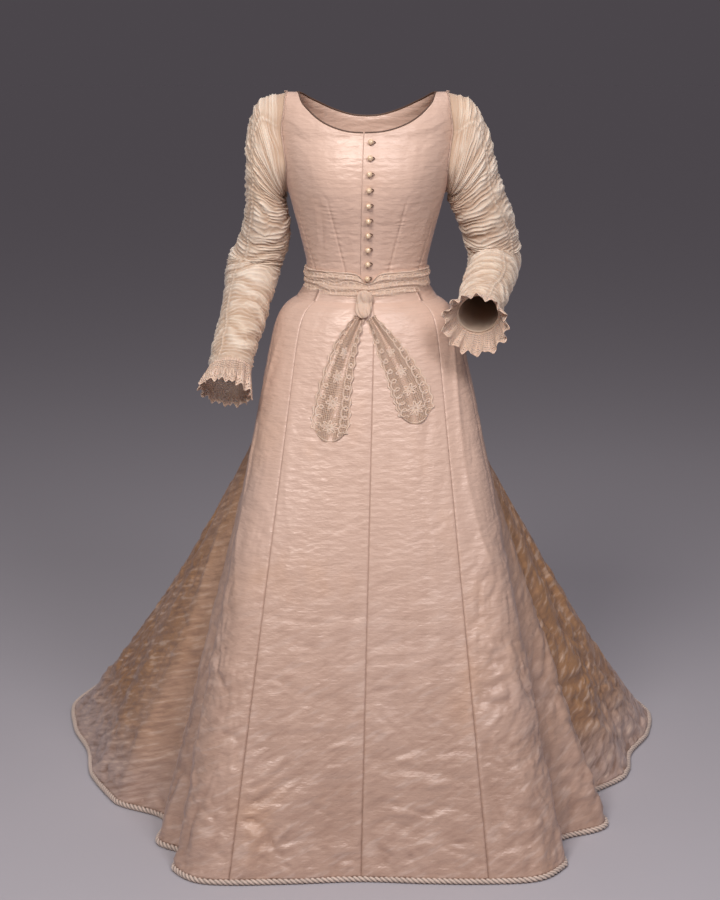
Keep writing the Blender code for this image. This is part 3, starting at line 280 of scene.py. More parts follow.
# Creases of the bodice fronts: x and height of both ends, half width, depth.
# Below 0 is a trough, above 0 a ridge.
RIGHT_FRONT_CREASES = (
    (-0.142, 1.333, -0.086, 1.316, 0.0032, -0.001),
    (-0.144, 1.322, -0.096, 1.296, 0.0036, 0.0009),
    (-0.145, 1.309, -0.092, 1.28, 0.0034, -0.001),
    (-0.142, 1.285, -0.098, 1.25, 0.0042, 0.0008),
    (-0.142, 1.262, -0.104, 1.226, 0.004, -0.0008),
    (-0.0875, 1.197, -0.08, 1.071, 0.003, -0.001),
    (-0.094, 1.19, -0.088, 1.075, 0.0034, 0.0009),
    (-0.12, 1.178, -0.103, 1.062, 0.0036, -0.0009),
    (-0.066, 1.121, -0.012, 1.117, 0.0026, -0.001),
    (-0.06, 1.128, -0.014, 1.127, 0.0026, 0.0008),
    (-0.056, 1.093, -0.014, 1.09, 0.0026, -0.0008),
    (-0.084, 1.064, -0.012, 1.067, 0.0026, -0.001),
    (-0.072, 1.072, -0.014, 1.075, 0.0026, 0.0008),
    (-0.046, 1.182, -0.012, 1.176, 0.0024, -0.0006),
    (-0.048, 1.236, -0.01, 1.231, 0.0026, -0.0006),
    (-0.042, 1.272, -0.008, 1.281, 0.0026, -0.0006),
)
LEFT_FRONT_CREASES = (
    (0.059, 1.316, 0.137, 1.334, 0.0034, -0.001),
    (0.073, 1.3, 0.14, 1.318, 0.0036, 0.0009),
    (0.074, 1.293, 0.142, 1.308, 0.0032, -0.001),
    (0.09, 1.262, 0.141, 1.284, 0.0042, 0.0008),
    (0.098, 1.236, 0.14, 1.262, 0.004, -0.0008),
    (0.08, 1.276, 0.11, 1.205, 0.005, 0.0007),
    (0.125, 1.172, 0.105, 1.064, 0.0036, -0.001),
    (0.116, 1.166, 0.098, 1.07, 0.0036, 0.0008),
    (0.018, 1.252, 0.048, 1.246, 0.0026, -0.0006),
    (0.018, 1.198, 0.046, 1.206, 0.0026, -0.0006),
    (0.014, 1.142, 0.05, 1.136, 0.0026, -0.0008),
    (0.012, 1.104, 0.044, 1.109, 0.0026, 0.0008),
    (0.012, 1.082, 0.056, 1.071, 0.0026, -0.0008),
    (0.028, 1.061, 0.084, 1.066, 0.0026, -0.0008),
)
BACK_CREASES = (
    (-0.128, 1.262, -0.088, 1.24, 0.004, -0.0008),
    (0.129, 1.266, 0.086, 1.236, 0.004, -0.0008),
    (-0.106, 1.095, -0.05, 1.084, 0.0034, -0.0009),
    (0.104, 1.086, 0.046, 1.078, 0.0034, -0.0009),
    (-0.09, 1.066, -0.02, 1.07, 0.003, -0.0008),
    (0.096, 1.106, 0.06, 1.094, 0.0034, 0.0007),
    (-0.062, 1.15, -0.045, 1.076, 0.005, 0.0007),
    (0.06, 1.158, 0.044, 1.082, 0.005, 0.0007),
)
# Darts of each front and their stitched line: x and height at the tip and at the waist
DARTS = (
    (0.071, 1.192, 0.034, 1.036),
    (0.124, 1.166, 0.0875, 1.036),
)

# Creases of the skirt for each gore: share of the gore's width and of its fall
# at both ends, half width, depth
SKIRT_CREASES = {
    "right_front": (
        (0.02, 0.542, 0.96, 0.548, 0.005, -0.0016),
        (0.2, 0.56, 0.85, 0.556, 0.006, 0.001),
        (0.24, 0.92, 0.46, 0.985, 0.005, -0.0036),
        (0.46, 0.9, 0.3, 0.975, 0.0045, 0.0034),
        (0.3, 0.944, 0.7, 0.93, 0.005, -0.003),
        (0.12, 0.95, 0.36, 0.948, 0.0045, 0.0028),
        (0.36, 0.948, 0.54, 0.984, 0.0045, 0.003),
        (0.55, 0.87, 0.8, 0.905, 0.005, -0.0022),
        (0.1, 0.84, 0.42, 0.868, 0.006, -0.0022),
        (0.64, 0.78, 0.92, 0.77, 0.0055, 0.0018),
        (0.2, 0.73, 0.55, 0.7, 0.006, -0.0016),
        (0.35, 0.33, 0.42, 0.7, 0.014, 0.0024),
        (0.7, 0.25, 0.74, 0.64, 0.015, -0.002),
        (0.1, 0.1, 0.24, 0.42, 0.011, 0.0022),
    ),
    "left_front": (
        (0.04, 0.546, 0.7, 0.54, 0.005, -0.0014),
        (0.2, 0.87, 0.6, 0.895, 0.005, -0.0028),
        (0.35, 0.915, 0.75, 0.88, 0.005, 0.0026),
        (0.08, 0.94, 0.4, 0.965, 0.005, -0.0028),
        (0.5, 0.955, 0.9, 0.935, 0.005, -0.0024),
        (0.15, 0.8, 0.52, 0.78, 0.006, 0.0018),
        (0.55, 0.73, 0.88, 0.76, 0.006, -0.0016),
        (0.48, 0.28, 0.52, 0.7, 0.015, 0.0022),
        (0.8, 0.18, 0.82, 0.56, 0.013, -0.002),
    ),
    "left_side": (
        (0.2, 0.06, 0.26, 0.52, 0.011, 0.0034),
        (0.36, 0.05, 0.4, 0.42, 0.01, -0.003),
        (0.1, 0.88, 0.34, 0.9, 0.0055, -0.003),
        (0.3, 0.82, 0.46, 0.87, 0.006, 0.0026),
        (0.52, 0.62, 0.6, 0.98, 0.011, 0.005),
        (0.6, 0.56, 0.7, 0.9, 0.01, -0.0044),
        (0.74, 0.7, 0.82, 0.96, 0.01, 0.004),
        (0.56, 0.84, 0.74, 0.86, 0.007, -0.0034),
        (0.62, 0.92, 0.84, 0.9, 0.007, 0.0034),
        (0.2, 0.7, 0.36, 0.74, 0.007, -0.0022),
    ),
    "right_side": (
        (0.78, 0.06, 0.74, 0.52, 0.011, 0.0034),
        (0.6, 0.05, 0.58, 0.46, 0.01, -0.003),
        (0.7, 0.88, 0.92, 0.9, 0.0055, -0.0028),
        (0.6, 0.83, 0.74, 0.88, 0.006, 0.0026),
        (0.44, 0.56, 0.36, 0.96, 0.011, 0.0046),
        (0.3, 0.62, 0.22, 0.94, 0.01, -0.004),
        (0.16, 0.86, 0.44, 0.88, 0.007, -0.003),
        (0.66, 0.66, 0.84, 0.69, 0.007, -0.002),
    ),
    "left_side_back": (
        (0.14, 0.36, 0.16, 0.9, 0.016, 0.007),
        (0.3, 0.3, 0.28, 0.86, 0.015, -0.006),
        (0.44, 0.42, 0.46, 0.96, 0.016, 0.007),
        (0.6, 0.34, 0.62, 0.9, 0.015, -0.006),
        (0.76, 0.44, 0.74, 0.96, 0.015, 0.006),
        (0.1, 0.66, 0.34, 0.7, 0.007, -0.004),
        (0.2, 0.72, 0.44, 0.76, 0.007, 0.004),
        (0.12, 0.8, 0.38, 0.79, 0.008, -0.004),
        (0.4, 0.84, 0.66, 0.88, 0.008, 0.0044),
        (0.48, 0.74, 0.72, 0.7, 0.008, -0.004),
        (0.56, 0.92, 0.86, 0.9, 0.008, -0.004),
        (0.16, 0.9, 0.42, 0.93, 0.008, 0.004),
        (0.3, 0.58, 0.5, 0.6, 0.008, -0.0034),
        (0.62, 0.56, 0.84, 0.62, 0.008, 0.0034),
    ),
    "right_side_back": (
        (0.18, 0.36, 0.16, 0.92, 0.016, 0.007),
        (0.32, 0.32, 0.34, 0.88, 0.015, -0.006),
        (0.46, 0.42, 0.44, 0.96, 0.016, 0.007),
        (0.62, 0.32, 0.6, 0.9, 0.015, -0.006),
        (0.78, 0.44, 0.76, 0.96, 0.015, 0.006),
        (0.3, 0.68, 0.56, 0.72, 0.007, -0.004),
        (0.54, 0.76, 0.8, 0.72, 0.007, 0.004),
        (0.4, 0.82, 0.62, 0.8, 0.008, -0.0044),
        (0.6, 0.88, 0.86, 0.85, 0.008, 0.0044),
        (0.14, 0.82, 0.36, 0.87, 0.008, -0.004),
        (0.18, 0.93, 0.46, 0.91, 0.008, 0.004),
        (0.44, 0.6, 0.7, 0.56, 0.008, -0.0036),
        (0.66, 0.64, 0.88, 0.66, 0.008, -0.0036),
    ),
    "left_back": (
        (0.2, 0.3, 0.18, 0.88, 0.017, 0.007),
        (0.42, 0.36, 0.44, 0.94, 0.017, -0.006),
        (0.66, 0.3, 0.64, 0.9, 0.017, 0.007),
        (0.2, 0.64, 0.5, 0.68, 0.009, -0.004),
        (0.44, 0.76, 0.74, 0.73, 0.009, 0.004),
        (0.24, 0.86, 0.54, 0.88, 0.009, -0.004),
        (0.58, 0.9, 0.86, 0.87, 0.009, 0.004),
    ),
    "right_back": (
        (0.34, 0.3, 0.36, 0.9, 0.017, 0.007),
        (0.58, 0.36, 0.56, 0.94, 0.017, -0.006),
        (0.8, 0.3, 0.82, 0.88, 0.017, 0.007),
        (0.5, 0.62, 0.8, 0.66, 0.009, -0.004),
        (0.26, 0.74, 0.56, 0.77, 0.009, 0.004),
        (0.46, 0.88, 0.76, 0.85, 0.009, -0.004),
        (0.14, 0.86, 0.42, 0.9, 0.009, 0.004),
    ),
}
# Fine grids: the coarser step of a cloth's inner side, and rows and columns of the panels
INNER_STEP = 4
FRONT_GRID = (145, 105)
BACK_GRID = (105, 77)
BUTTON_GRID = (19, 28)
KNOT_GRID = (49, 72)
# How far the dressed cloth stands proud of the plain form
PROUD = 0.0008
# A share of a bodice panel's width as a distance, and an angle round the torso as one
PANEL_WIDTH = 0.17
TORSO_RADIUS = 0.14
# Stitched lines of the back, from the middle; the depth of a dart's fold
BACK_LINES = (0.0, 0.075)
DART_DEPTH = 0.0016
# Narrow strips rolled to a tube: their wall, flat width and sides
STRIP_WALL = 0.0003
STRIP_SIDES = 8
BINDING_RISE = 0.0016
# The hem rope: step along it, radius of a strand, length of one twist, sides
ROPE_STEP = 0.0020
STRAND_RADIUS = 0.0028
ROPE_TWIST = 0.0285
ROPE_SIDES = 12
ROPE_SWELL = 1.10
# Crumpling of the taffeta: depth in the upper skirt and near the hem, size of a facet
CRUMPLE_HIGH = 0.0009
CRUMPLE_LOW = 0.0080
CRUMPLE_SIZE = 0.050
BODICE_CRUMPLE = 0.00035
BODICE_CRUMPLE_SIZE = 0.030

# The studio: camera and soft square lights (name, place, side, power, colour, what it faces)
CAMERA_PLACE = (-0.0126, -3.5, 0.134)
CAMERA_TILT = 77.19
CAMERA_LENS = 76.2
SENSOR_WIDTH = 36.0
FLOOR_HALF_SIDE = 40
FLOOR_DROP = 0.0006
SURROUND_STRENGTH = 0.28
LIGHTS = (
    ("key", (-0.8, -2.4, 1.6), 0.9, 74, (1.0, 0.98, 0.96), (0.0, 0.0, -0.25)),
    ("fill", (1.1, -2.4, 1.4), 0.9, 44, (0.98, 0.97, 1.0), (0.0, 0.0, -0.25)),
    ("top", (0.2, 0.6, 2.2), 1.2, 14, (0.98, 0.97, 1.0), (0.0, 0.2, -0.6)),
)


# Curves and fields


def smooth(keys, values, at):
    """Cubic curve through (keys, values), read at the places `at`; ends run straight."""
    keys = np.asarray(keys, float)
    values = np.asarray(values, float)
    at = np.clip(np.asarray(at, float), keys[0], keys[-1])
    steps = np.diff(keys)
    slopes = np.diff(values) / steps
    inner = (slopes[:-1] * steps[1:] + slopes[1:] * steps[:-1]) / (steps[:-1] + steps[1:])
    tangents = np.concatenate([slopes[:1], inner, slopes[-1:]])
    k = np.clip(np.searchsorted(keys, at, side="right") - 1, 0, len(keys) - 2)
    t = (at - keys[k]) / steps[k]
    rise = values[k] * (1 + 2 * t) * (1 - t) ** 2 + values[k + 1] * t * t * (3 - 2 * t)
    lean = tangents[k] * t * (1 - t) ** 2 - tangents[k + 1] * t * t * (1 - t)
    return rise + steps[k] * lean


def smooth_ring(values, at):
    """Closed cubic curve through evenly numbered values, read at the places `at`."""
    values = np.asarray(values, float)
    count = len(values)
    first = np.floor(at).astype(int)
    t = at - first
    a, b, c, d = (values[(first + shift) % count] for shift in (-1, 0, 1, 2))
    bend = 2 * a - 5 * b + 4 * c - d
    return 0.5 * (2 * b + (c - a) * t + bend * t * t + (3 * b - a - 3 * c + d) * t ** 3)


def unit(vectors):
    """Each vector divided by its length."""
    return vectors / np.maximum(np.linalg.norm(vectors, axis=-1, keepdims=True), 1e-12)


def ease(low, high, values):
    """0 below `low`, 1 above `high`, and 3t² - 2t³ between."""
    t = np.clip((values - low) / (high - low), 0, 1)
    return t * t * (3 - 2 * t)


def lattice_noise(across, along, seed, period=64):
    """Soft noise from -1 to 1: seeded values at whole numbers, blended by 3t² - 2t³.

    It repeats after `period` across, so that it closes round a tube.
    """
    lattice = np.random.default_rng(seed).uniform(-1, 1, (period, 256))
    i = np.floor(across).astype(int)
    j = np.floor(along).astype(int)
    s = across - i
    t = along - j
    s = s * s * (3 - 2 * s)
    t = t * t * (3 - 2 * t)
    near = lattice[i % period, j % 256] * (1 - s) + lattice[(i + 1) % period, j % 256] * s
    far = lattice[i % period, (j + 1) % 256] * (1 - s) + lattice[(i + 1) % period, (j + 1) % 256] * s
    return near * (1 - t) + far * t


def crumple(across, along, size, seed):
    """Facets of crushed silk: the sum of |noise| at three sizes, with sharp lines where it is 0.

    The grid is bent by a slower noise first, so that the lines don't follow the lattice.
    """
    x = across / size
    y = along / size
    bend_x = x + 0.7 * lattice_noise(x * 0.6 + 9, y * 0.6, seed + 5)
    bend_y = y + 0.7 * lattice_noise(x * 0.6, y * 0.6 + 7, seed + 6)
    total = np.abs(lattice_noise(bend_x, bend_y, seed))
    total = total + 0.5 * np.abs(lattice_noise(bend_x * 2.1 + 3, bend_y * 2.1, seed + 1))
    total = total + 0.22 * np.abs(lattice_noise(bend_x * 4.3, bend_y * 4.3 + 5, seed + 2))
    return total - 0.75


def crease_field(across, along, creases):
    """The sum of the listed creases: depth times exp(-(distance / half width)^1.5).

    Each fades towards its two ends as the root of 4t(1 - t), and swells and thins on the way.
    """
    field = np.zeros(np.shape(across))
    for number, (x0, y0, x1, y1, width, depth) in enumerate(creases):
        run_x = x1 - x0
        run_y = y1 - y0
        length = math.hypot(run_x, run_y)
        t = ((across - x0) * run_x + (along - y0) * run_y) / length ** 2
        bow = 0.10 * length * math.sin(2.4 * number + 1.0)
        off = ((across - x0) * run_y - (along - y0) * run_x) / length
        off = off + bow * 4 * t * (1 - t) * (t > 0) * (t < 1)
        inside = np.clip(t, 0, 1)
        fade = np.sqrt(np.clip(4 * inside * (1 - inside), 0, 1))
        uneven = 0.8 + 0.2 * np.sin(9 * inside + 1.7 * number)
        field = field + depth * fade * uneven * np.exp(-(np.abs(off) / width) ** 1.5)
    return field


# Meshes


def signed_volume(points, quads, triangles):
    """Volume inside the faces, below 0 where they point inwards."""
    corners = np.concatenate([quads[:, [0, 1, 2]], quads[:, [0, 2, 3]], triangles])
    a, b, c = (points[corners[:, k]] for k in range(3))
    return np.sum(a * np.cross(b, c)) / 6


def add_mesh(name, points, quads, triangles=None, uv=None, rise=None):
    """A mesh object from arrays, lowered to the frame and turned to face outwards.

    Quads are smooth. Triangles are the narrow rims, which stay flat so that no cloth edge looks
    rounded off.
    """
    points = np.asarray(points, float) - (0.0, 0.0, SHOULDER_HEIGHT)
    quads = np.asarray(quads, int).reshape(-1, 4)
    triangles = np.asarray([] if triangles is None else triangles, int).reshape(-1, 3)
    if signed_volume(points, quads, triangles) < 0:
        quads = quads[:, ::-1]
        triangles = triangles[:, ::-1]
    corners = np.concatenate([quads.ravel(), triangles.ravel()])
    quad_starts = np.arange(len(quads)) * 4
    starts = np.concatenate([quad_starts, len(quads) * 4 + np.arange(len(triangles)) * 3])
    mesh = bpy.data.meshes.new(name)
    mesh.vertices.add(len(points))
    mesh.vertices.foreach_set("co", points.astype(np.float32).ravel())
    mesh.loops.add(len(corners))
    mesh.loops.foreach_set("vertex_index", corners.astype(np.int32))
    mesh.polygons.add(len(starts))
    mesh.polygons.foreach_set("loop_start", starts.astype(np.int32))
    if uv is not None:
        layer = mesh.uv_layers.new(name="cloth")
        layer.uv.foreach_set("vector", uv[corners].astype(np.float32).ravel())
    if rise is not None:
        heights = mesh.attributes.new("rise", "FLOAT", "POINT")
        heights.data.foreach_set("value", np.asarray(rise, np.float32).ravel())
    mesh.update(calc_edges=True)
    mesh.shade_smooth()
    mesh.polygons.foreach_set("use_smooth", np.arange(len(starts)) < len(quads))
    piece = bpy.data.objects.new(name, mesh)
    bpy.context.scene.collection.objects.link(piece)
    return piece


def numbered(rows, columns, start, wrap):
    """Point numbers of a grid, with the first column again at the end where it wraps."""
    numbers = start + np.arange(rows * columns).reshape(rows, columns)
    return np.concatenate([numbers, numbers[:, :1]], axis=1) if wrap else numbers


def grid_quads(numbers):
    """Four corners of each cell of a grid of point numbers."""
    return np.stack([numbers[:-1, :-1], numbers[:-1, 1:], numbers[1:, 1:], numbers[1:, :-1]], -1)


def stitch(outer_line, inner_line, step):
    """Triangles between an outer edge and an inner edge with one point for every `step`."""
    edges = np.arange(len(outer_line) - 1)
    near = inner_line[(edges + step // 2) // step]
    fans = np.stack([outer_line[1:], outer_line[:-1], near], -1)
    middles = outer_line[np.arange(len(inner_line) - 1) * step + (step + 1) // 2]
    return np.concatenate([fans, np.stack([middles, inner_line[:-1], inner_line[1:]], -1)])


def shell_parts(outer, inner, uv, wrap):
    """Points, quads, rims and UV of a closed cloth; `inner` is already the coarser grid."""
    rows, columns = outer.shape[:2]
    front = numbered(rows, columns, 0, wrap)
    back = numbered(*inner.shape[:2], rows * columns, wrap)
    quads = [grid_quads(front).reshape(-1, 4), grid_quads(back).reshape(-1, 4)[:, ::-1]]
    edges = [(front[0], back[0]), (front[-1, ::-1], back[-1, ::-1])]
    if not wrap:
        edges += [(front[:, -1], back[:, -1]), (front[::-1, 0], back[::-1, 0])]
    rims = [stitch(outer_line, inner_line, INNER_STEP) for outer_line, inner_line in edges]
    points = np.concatenate([outer.reshape(-1, 3), inner.reshape(-1, 3)])
    both = np.concatenate([uv.reshape(-1, 2), uv[::INNER_STEP, ::INNER_STEP].reshape(-1, 2)])
    return points, np.concatenate(quads), np.concatenate(rims), both


def shell(name, outer, inner, uv, rise, wrap=False):
    """A closed cloth shell: a fine outer grid, a coarser inner grid, and rims."""
    inner = inner[::INNER_STEP, ::INNER_STEP]
    points, quads, rims, both = shell_parts(outer, inner, uv, wrap)
    rise = np.concatenate([rise.ravel(), np.full(inner.shape[0] * inner.shape[1], rise.mean())])
    return add_mesh(name, points, quads, rims, both, rise)


def pole_caps(numbers, first_pole):
    """Triangles that close a grid of rings with one point at each end."""
    columns = numbers.shape[1] - 1
    top = np.stack([numbers[0, 1:], numbers[0, :-1], np.full(columns, first_pole)], -1)
    low = np.stack([numbers[-1, :-1], numbers[-1, 1:], np.full(columns, first_pole + 1)], -1)
    return np.concatenate([top, low])


def pierced_parts(outer, inner, uv, keep, wrap=False):
    """Points, quads and UV of a wall with some cells left out and the rim of each gap joined."""
    rows, columns = outer.shape[:2]
    front = grid_quads(numbered(rows, columns, 0, wrap))[keep]
    shift = rows * columns
    edges = np.concatenate([front[:, [k, (k + 1) % 4]] for k in range(4)])
    code = edges[:, 0] * shift + edges[:, 1]
    back_code = edges[:, 1] * shift + edges[:, 0]
    free = edges[~np.isin(code, back_code)]
    rims = np.stack([free[:, 1], free[:, 0], free[:, 0] + shift, free[:, 1] + shift], -1)
    quads = np.concatenate([front, front[:, ::-1] + shift, rims])
    points = np.concatenate([outer.reshape(-1, 3), inner.reshape(-1, 3)])
    both = np.concatenate([uv.reshape(-1, 2), uv.reshape(-1, 2)])
    used, numbers = np.unique(quads, return_inverse=True)
    return points[used], numbers.reshape(-1, 4), both[used]


def joined(parts):
    """Several (points, quads, UV) as one."""
    shifts = np.cumsum([0] + [len(part[0]) for part in parts[:-1]])
    points = np.concatenate([part[0] for part in parts])
    quads = np.concatenate([part[1] + shift for part, shift in zip(parts, shifts)])
    return points, quads, np.concatenate([part[2] for part in parts])


def tube_parts(path, radius, sides, outwards, ring=False):
    """Points, quads and UV of a round tube along a path; open ends are closed by a flat cell."""
    if ring:
        along = unit(np.roll(path, -1, axis=0) - np.roll(path, 1, axis=0))
    else:
        along = unit(np.gradient(path, axis=0))
    side = unit(np.cross(along, outwards))
    over = np.cross(side, along)
    turn = 2 * np.pi * (np.arange(sides) + 0.5) / sides
    around = side[:, None] * np.cos(turn)[:, None] + over[:, None] * np.sin(turn)[:, None]
    points = path[:, None] + np.asarray(radius).reshape(-1, 1, 1) * around
    numbers = numbered(len(path), sides, 0, True)
    if ring:
        numbers = np.concatenate([numbers, numbers[:1]])
    quads = grid_quads(numbers).reshape(-1, 4)
    if not ring:
        last = (len(path) - 1) * sides
        caps = [(k + 2, k + 1, k, sides - 1) for k in range(0, sides - 3, 2)]
        caps = [tuple(min(p, sides - 1) for p in cap) for cap in caps]
        ends = [caps, [tuple(p + last for p in reversed(cap)) for cap in caps]]
        quads = np.concatenate([quads, np.array(ends).reshape(-1, 4)])
    steps = np.linalg.norm(np.diff(path, axis=0), axis=1)
    length = np.concatenate([[0.0], np.cumsum(steps)])
    uv = np.stack(np.broadcast_arrays(turn[None] / (2 * np.pi), length[:, None]), -1)
    return points.reshape(-1, 3), quads, uv.reshape(-1, 2)


# Materials


def new_material(name, colour, roughness, **sockets):
    """A Principled material; `sockets` are constants for its other inputs."""
    material = bpy.data.materials.new(name)
    material.use_nodes = True
    shader = material.node_tree.nodes["Principled BSDF"]
    shader.inputs["Base Color"].default_value = (*colour, 1.0)
    shader.inputs["Roughness"].default_value = roughness
    for socket, value in sockets.items():
        shader.inputs[socket.replace("_", " ")].default_value = value
    return material


def add_node(material, kind, **values):
    """A node of the material; a value named after an input sets it, any other sets a property."""
    node = material.node_tree.nodes.new(kind)
    for name, value in values.items():
        title = name.replace("_", " ")
        if title in node.inputs:
            node.inputs[title].default_value = value
        else:
            setattr(node, name, value)
    return node


def link(material, source, target):
    """Joins an output socket to an input socket."""
    material.node_tree.links.new(source, target)


def stretched_noise(material, scale, detail=2.0, on_cloth=True, lean=0.0):
    """Noise read on the piece's own cloth UV, or on Object coordinates, stretched by `scale`.

    The stretched noise may lean by an angle across the cloth.
    """
    if on_cloth:
        place = add_node(material, "ShaderNodeUVMap", uv_map="cloth").outputs["UV"]
    else:
        place = add_node(material, "ShaderNodeTexCoord").outputs["Object"]
    turned = add_node(material, "ShaderNodeMapping", Rotation=(0.0, 0.0, lean))
    mapping = add_node(material, "ShaderNodeMapping", Scale=scale)
    noise = add_node(material, "ShaderNodeTexNoise", Scale=1.0, Detail=detail)
    link(material, place, turned.inputs["Vector"])
    link(material, turned.outputs["Vector"], mapping.inputs["Vector"])
    link(material, mapping.outputs["Vector"], noise.inputs["Vector"])
    return noise.outputs["Fac"]


def ranged(material, value, low, high, to_low, to_high):
    """A value mapped from one range to another and held inside it."""
    node = add_node(material, "ShaderNodeMapRange")
    for name, number in (("From Min", low), ("From Max", high), ("To Min", to_low), ("To Max", to_high)):
        node.inputs[name].default_value = number
    link(material, value, node.inputs["Value"])
    return node.outputs["Result"]


def product(material, first, second):
    """Two values multiplied."""
    node = add_node(material, "ShaderNodeMath", operation="MULTIPLY")
    link(material, first, node.inputs[0])
    link(material, second, node.inputs[1])
    return node.outputs[0]


def mixed(material, first, second, share):
    """Two colours mixed by a share; each may be a colour or a socket."""
    node = add_node(material, "ShaderNodeMix", data_type="RGBA")
    for socket, value in ((node.inputs[6], first), (node.inputs[7], second), (node.inputs[0], share)):
        if isinstance(value, bpy.types.NodeSocket):
            link(material, value, socket)
        else:
            socket.default_value = (*value, 1.0)
    return node.outputs[2]


def tinted(material, ground, tint, value, low, high, most, where=None):
    """The ground with a tint: none where the value is `low`, `most` where it is `high`."""
    share = ranged(material, value, low, high, 0.0, most)
    if where is not None:
        share = product(material, where, share)
    return mixed(material, ground, tint, share)


def paint(material, colour):
    """Joins a colour to the shader's base colour."""
    link(material, colour, material.node_tree.nodes["Principled BSDF"].inputs["Base Color"])


def bump(material, heights, distance):
    """Bump from (height socket, strength) pairs, one after another, into the shader."""
    normal = None
    for height, strength in heights:
        node = add_node(material, "ShaderNodeBump", Strength=strength, Distance=distance)
        link(material, height, node.inputs["Height"])
        if normal is not None:
            link(material, normal, node.inputs["Normal"])
        normal = node.outputs["Normal"]
    link(material, normal, material.node_tree.nodes["Principled BSDF"].inputs["Normal"])


def taffeta_material(name, colour, shaded_train_tone, floor_sheen_tone):
    """Shot silk taffeta with weft streaks, stains and crinkles, darker stitch lines, and painted
    shade and highlights in its creases and wrinkles.

    The front is painted a lighter, pinker tone where it is lit, and darker towards the hem, partly
    as painted shade and partly as soiling. The train is painted a darker tan as painted shade, and a
    paler tone near the floor as a painted sheen.
    """
    material = new_material(name, colour, 0.38, Sheen_Weight=0.12, Sheen_Roughness=0.30,
                            Sheen_Tint=(0.92, 0.82, 0.95, 1.0), Specular_IOR_Level=0.62,
                            Specular_Tint=(1.0, 0.90, 0.86, 1.0), Anisotropic=0.30)
    weft = stretched_noise(material, (13.0, 620.0, 1.0), 4.0)
    slub = stretched_noise(material, (7.0, 150.0, 1.0), 3.0)
    warp = stretched_noise(material, (34.0, 2.2, 1.0), 3.0)
    cloud = stretched_noise(material, (4.5, 4.5, 4.5), 3.0, on_cloth=False)
    stain = stretched_noise(material, (8.0, 8.0, 5.5), 4.0, on_cloth=False)
    crinkle = stretched_noise(material, (42.0, 90.0, 1.0), 6.0)
    # Noise for painted shade and painted highlights of small diagonal wrinkles
    painted_wrinkle_light = stretched_noise(material, (20.0, 80.0, 1.0), 5.0, lean=0.5)
    slant = stretched_noise(material, (11.0, 30.0, 1.0), 5.0, lean=0.6)
    # The rise darkens stitch lines, and on the skirt also carries painted shade in the crease hollows
    stitches = add_node(material, "ShaderNodeAttribute", attribute_name="rise").outputs["Fac"]
    split = add_node(material, "ShaderNodeSeparateXYZ")
    link(material, add_node(material, "ShaderNodeTexCoord").outputs["Object"], split.inputs[0])
    back = split.outputs["Y"]
    height = split.outputs["Z"]
    # Painted shade: the train, behind and low, takes a darker tan, while the lit front keeps a lighter pink
    train_shade_mask = product(material, ranged(material, back, -0.12, 0.08, 0.0, 1.0),
                     ranged(material, height, -0.40, -0.72, 0.0, 1.0))
    low = ranged(material, height, -0.70, -1.15, 0.0, 1.0)
    # Painted sheen: the train turns paler where it lies near the floor and faces up to the light
    train = tinted(material, shaded_train_tone, floor_sheen_tone, height, -1.22, -1.31, 0.85)
    # Darker towards the hem: partly painted shade where less light falls, partly soiling
    front = tinted(material, colour, (0.400, 0.250, 0.190), height, -0.62, -1.22, 0.62)
    tone = mixed(material, front, train, train_shade_mask)
    # Tint, what places it, where it begins and is full, how much of it, where on the gown
    for tint, value, start, full, most, where in (
            ((0.66, 0.36, 0.19), stain, 0.56, 0.78, 0.26, None),
            ((0.76, 0.58, 0.52), cloud, 0.48, 0.78, 0.16, None),
            # Painted shade and painted highlights of wrinkles on the train and on the lower skirt
            ((0.20, 0.105, 0.055), painted_wrinkle_light, 0.50, 0.66, 0.60, train_shade_mask),
            ((0.80, 0.56, 0.40), painted_wrinkle_light, 0.46, 0.32, 0.55, train_shade_mask),
            ((0.34, 0.20, 0.15), painted_wrinkle_light, 0.52, 0.66, 0.40, low),
            ((0.86, 0.70, 0.62), painted_wrinkle_light, 0.46, 0.34, 0.22, low),
            ((0.44, 0.27, 0.20), warp, 0.48, 0.74, 0.22, None),
            ((0.36, 0.22, 0.16), weft, 0.46, 0.76, 0.20, None),
            ((0.36, 0.22, 0.16), slub, 0.60, 0.78, 0.22, None),
            # Stitch lines, and the painted shade of crease hollows on the skirt
            ((0.30, 0.17, 0.12), stitches, 0.0, 1.6, 0.36, None)):
        tone = tinted(material, tone, tint, value, start, full, most, where)
    paint(material, tone)
    shader = material.node_tree.nodes["Principled BSDF"]
    link(material, ranged(material, slub, 0.3, 0.7, 0.30, 0.44), shader.inputs["Roughness"])
    bump(material, [(weft, 0.10), (crinkle, 0.80), (product(material, low, slant), 1.0)], 0.0030)
    return material


def hollows(material, colour, shade, low, high, most):
    """The colour with painted shade in the hollows, where the piece's rise is low."""
    rise = add_node(material, "ShaderNodeAttribute", attribute_name="rise").outputs["Fac"]
    return mixed(material, shade, colour, ranged(material, rise, low, high, 1.0 - most, 1.0))


def chiffon_material(name, colour):
    """Sheer silk chiffon: a soft, dull cream with fine cross threads and painted shade in the hollows of
    the gathers.
    """
    material = new_material(name, colour, 0.80, Sheen_Weight=0.25, Sheen_Roughness=0.5,
                            Subsurface_Weight=0.12, Subsurface_Radius=(0.006, 0.004, 0.003))
    thread = stretched_noise(material, (120.0, 520.0, 1.0), 3.0)
    cloud = stretched_noise(material, (9.0, 9.0, 9.0), 3.0, on_cloth=False)
    warm = [part * shift for part, shift in zip(colour, (0.90, 0.80, 0.68))]
    # Painted shade: a darker ochre for the hollows of the gathers
    deep = [part * shift for part, shift in zip(colour, (0.62, 0.49, 0.40))]
    tone = tinted(material, colour, warm, cloud, 0.42, 0.72, 0.60)
    tone = tinted(material, tone, warm, thread, 0.45, 0.75, 0.45)
    paint(material, hollows(material, tone, deep, 0.0003, 0.0040, 0.95))
    bump(material, [(thread, 0.35)], 0.0010)
    return material


